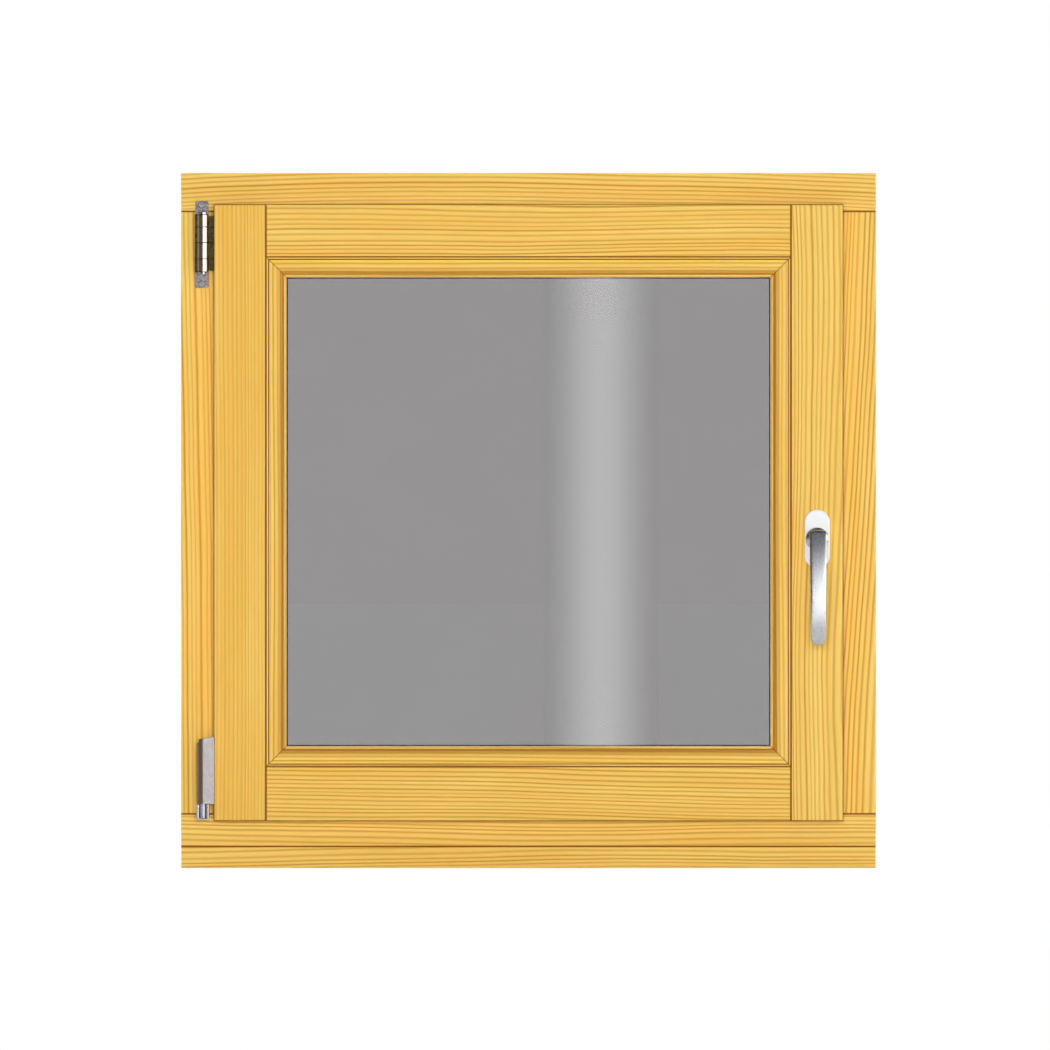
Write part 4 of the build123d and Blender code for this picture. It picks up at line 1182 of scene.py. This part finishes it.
@dataclass
class Studio:
    """The pale floor, the white surround, the lamps and the camera.

    Attributes:
        camera_distance: From the window's middle plane, in metres.
        photo_scale: Millimetres of the window's face for each pixel of the photo.
        photo_centre: What the photo's middle looks at, to the side and up, in millimetres.
        ambient: Light from all round, where 1 is white.
        dark_colours: Hex colours that polished things mirror where no lit wall stands: low round
            the window and higher up.
        wall_level: How bright the lit walls are in polished things.
        wall_levels: Share of that level by bearing, from behind the window (0) by its left, the
            camera (0.5) and its right to behind it again (1).
        wall_gap: Bearings between which no wall stands, with sharp ends. The right one lies just
            beyond what the glass mirrors to the camera.
        wall_heights: Share of it by height, from straight down (0) to straight up (1).
        dark_heights: Heights between which the lower dark colour gives way to the higher one.
        lamp_aim: What the lamps face, in metres.
        floor_radius: Radius of the floor, in metres.
        floor_drop: How far it lies below the window, in millimetres.
        floor_fade: Distances from the window between which the floor fades to white, in metres.
        floor_lift: How bright the floor is shown near the window, where 1 is white.
        strip_middle: Middle of the strip of light that mirrors in the glass, in metres.
        strip_size: Its width and height, in metres.
        strip_power: How bright its middle is.
    """

    camera_distance: float = 12.0
    photo_scale: float = 1.1228
    photo_centre: tuple[float, float] = (-3.9, 384.9)
    ambient: float = 0.28
    dark_colours: tuple[str, str] = ("66523A", "4C4E52")
    wall_level: float = 2.85
    wall_levels: tuple[tuple[float, float], ...] = (
        (0.0, 0.22), (0.14, 0.2), (0.24, 0.04), (0.32, 0.0), (0.47, 0.0), (0.49, 1.0), (0.80, 1.0),
        (0.88, 0.25), (1.0, 0.22))
    wall_gap: tuple[float, float] = (0.32, 0.5041)
    wall_heights: tuple[tuple[float, float], ...] = ((0.0, 0.3), (0.46, 1.0), (0.54, 1.0), (0.72, 0.0))
    dark_heights: tuple[float, float] = (0.54, 0.66)
    lamp_aim: tuple[float, float, float] = (0.0, 0.0, 0.4)
    floor_radius: float = 40.0
    floor_drop: float = 0.4
    floor_fade: tuple[float, float] = (0.7, 1.6)
    floor_lift: float = 0.66
    strip_middle: tuple[float, float, float] = (0.1026, -3.0, 0.4)
    strip_size: tuple[float, float] = (0.161, 1.3)
    strip_power: float = 4.5

    def build(self) -> None:
        """Makes the studio."""
        self._floor()
        self._world()
        boxes = [
            SoftBox("front_softbox", Vector((0.12, -5.0, 0.5)), (1.8, 1.6), 0.64),
            SoftBox("back_softbox", Vector((-0.8, 4.8, 1.2)), (2.4, 2.0), 0.52),
            SoftBox("left_softbox", Vector((-4.6, 0.9, 1.0)), (1.6, 1.6), 0.5),
            SoftBox("right_softbox", Vector((4.6, 0.9, 1.0)), (1.6, 1.6), 0.5),
            SoftBox("top_softbox", Vector((0.0, 0.7, 4.8)), (2.0, 2.0), 0.3),
        ]
        for box in boxes:
            box.build(Vector(self.lamp_aim))
        self._glass_strip()
        self._camera()
        bpy.context.scene.view_settings.view_transform = "Standard"
        LOG.info("studio: floor, surround, %d lamps and camera made", len(boxes))

    def _floor(self) -> None:
        """Makes a wide pale floor that keeps the window's shadow and fades to white."""
        bm = bmesh.new()
        bmesh.ops.create_circle(bm, cap_ends=True, segments=96, radius=self.floor_radius,
                                matrix=Matrix.Translation((0, 0, -self.floor_drop * MM)))
        floor = new_piece("studio_floor", bm)
        made = new_material("pale_floor_matt")
        add = partial(wire, made.node_tree)
        seen = seen_directly(add)
        place = add("TexCoord", output="Object")
        reach = add("VectorMath", {0: place}, "Value", operation="LENGTH")
        start, end = self.floor_fade
        far = add("MapRange", {"Value": reach, "From Min": start, "From Max": end})
        lift = add("MapRange", {"Value": far, "To Min": self.floor_lift})
        shown = add("Math", {0: seen, 1: lift}, operation="MULTIPLY")
        glow = add("Emission", {"Color": WHITE, "Strength": shown})
        matt = add("BsdfDiffuse", {"Color": "E6E6E6"})
        near = add("AddShader", {0: matt, 1: glow})
        fade = add("Math", {0: seen, 1: far}, operation="MULTIPLY")
        white = add("Emission", {"Color": WHITE, "Strength": 1.0})
        add("OutputMaterial", {"Surface": add("MixShader", {0: fade, 1: near, 2: white})})
        dress(floor, made)

    def _world(self) -> None:
        """Makes the surround: white where it is seen, softer as light, darker overhead in gloss."""
        world = bpy.data.worlds.new("studio_surround")
        world.use_nodes = True
        world.node_tree.nodes.clear()
        add = partial(wire, world.node_tree)
        seen = seen_directly(add)
        direction = add("SeparateXYZ", {0: add("TexCoord", output="Generated")}).node.outputs
        outwards = add("Math", {0: direction["Y"], 1: -1.0}, operation="MULTIPLY")
        bearing = add("Math", {0: direction["X"], 1: outwards}, operation="ARCTAN2")
        bearing = add("MapRange", {"Value": bearing, "From Min": -math.pi, "From Max": math.pi})
        wall = ramp(add("ValToRGB", {0: bearing}), self.wall_levels)
        start, end = self.wall_gap
        in_gap = add("Math", {0: bearing, 1: (start + end) / 2, 2: (end - start) / 2}, operation="COMPARE")
        stands = add("Math", {0: 1.0, 1: in_gap}, operation="SUBTRACT")
        wall = add("Math", {0: wall, 1: stands}, operation="MULTIPLY")
        height = add("MapRange", {"Value": direction["Z"], "From Min": -1.0, "From Max": 1.0})
        wall_height = ramp(add("ValToRGB", {0: height}), self.wall_heights)
        wall = add("Math", {0: wall, 1: wall_height}, operation="MULTIPLY")
        start, end = self.dark_heights
        overhead = add("MapRange", {"Value": height, "From Min": start, "From Max": end})
        low, high = self.dark_colours
        dark = add("Mix", {"Factor": overhead, 6: low, 7: high}, **IN_COLOUR)
        lit = add("VectorMath", {0: wall, 1: (self.wall_level,) * 3, 2: dark}, operation="MULTIPLY_ADD")
        plain = (self.ambient,) * 3 + (1.0,)
        glossy = add("LightPath", output="Is Glossy Ray")
        light = add("Mix", {"Factor": glossy, 6: plain, 7: lit}, **IN_COLOUR)
        colour = add("Mix", {"Factor": seen, 6: light, 7: WHITE}, **IN_COLOUR)
        shader = add("Background", {"Color": colour, "Strength": 1.0})
        add("OutputWorld", {"Surface": shader})
        bpy.context.scene.world = world

    def _glass_strip(self) -> None:
        """Makes the tall soft strip of light that mirrors as a streak in the glass."""
        middle = Vector(self.strip_middle)
        bm = bmesh.new()
        bmesh.ops.create_grid(bm, x_segments=1, y_segments=1, size=0.5)
        bmesh.ops.scale(bm, vec=(*self.strip_size, 1.0), verts=bm.verts)
        bmesh.ops.rotate(bm, matrix=Matrix.Rotation(math.radians(90), 3, "X"), verts=bm.verts)
        bmesh.ops.translate(bm, vec=middle, verts=bm.verts)
        strip = new_piece("strip_reflection", bm)
        made = new_material("strip_glow_soft_edged")
        add = partial(wire, made.node_tree)
        place = add("SeparateXYZ", {0: add("TexCoord", output="Object")}).node.outputs
        glow = nearness(add, place["X"], middle.x, 0.0, self.strip_size[0] / 2, self.strip_power,
                        interpolation_type="SMOOTHSTEP")
        add("OutputMaterial", {"Surface": add("Emission", {"Strength": glow})})
        dress(strip, made)
        hide(strip, "camera", "diffuse", "transmission", "shadow")

    def _camera(self) -> None:
        """Makes the camera, far off and straight on, framed as the photo is."""
        data = bpy.data.cameras.new("photo_camera")
        side, up = (value * MM for value in self.photo_centre)
        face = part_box("frame_head")[0].y
        view_width = PHOTO_WIDTH * self.photo_scale * MM
        data.lens = data.sensor_width * (self.camera_distance + face) / view_width
        data.clip_end = 200.0
        camera = bpy.data.objects.new("photo_camera", data)
        camera.location = (side, -self.camera_distance, up)
        camera.rotation_euler = (math.radians(90), 0, 0)
        bpy.context.scene.collection.objects.link(camera)
        bpy.context.scene.camera = camera


HANDLE_CENTRE = Vector((
    sum(corner.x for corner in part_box("handle_rosette")) / 2,
    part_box("sash_stile_right")[0].y,
    sum(corner.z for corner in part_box("handle_spindle")) / 2))


def main() -> None:
    """Builds every sub-assembly in order and then the studio."""
    logging.basicConfig(level=logging.INFO, format="%(name)s: %(message)s")
    TimberFrame().build()
    Sash().build()
    Glazing().build()
    Hinges().build()
    LeverHandle(HANDLE_CENTRE).build()
    RainRail().build()
    Studio().build()


if __name__ == "__main__":
    main()
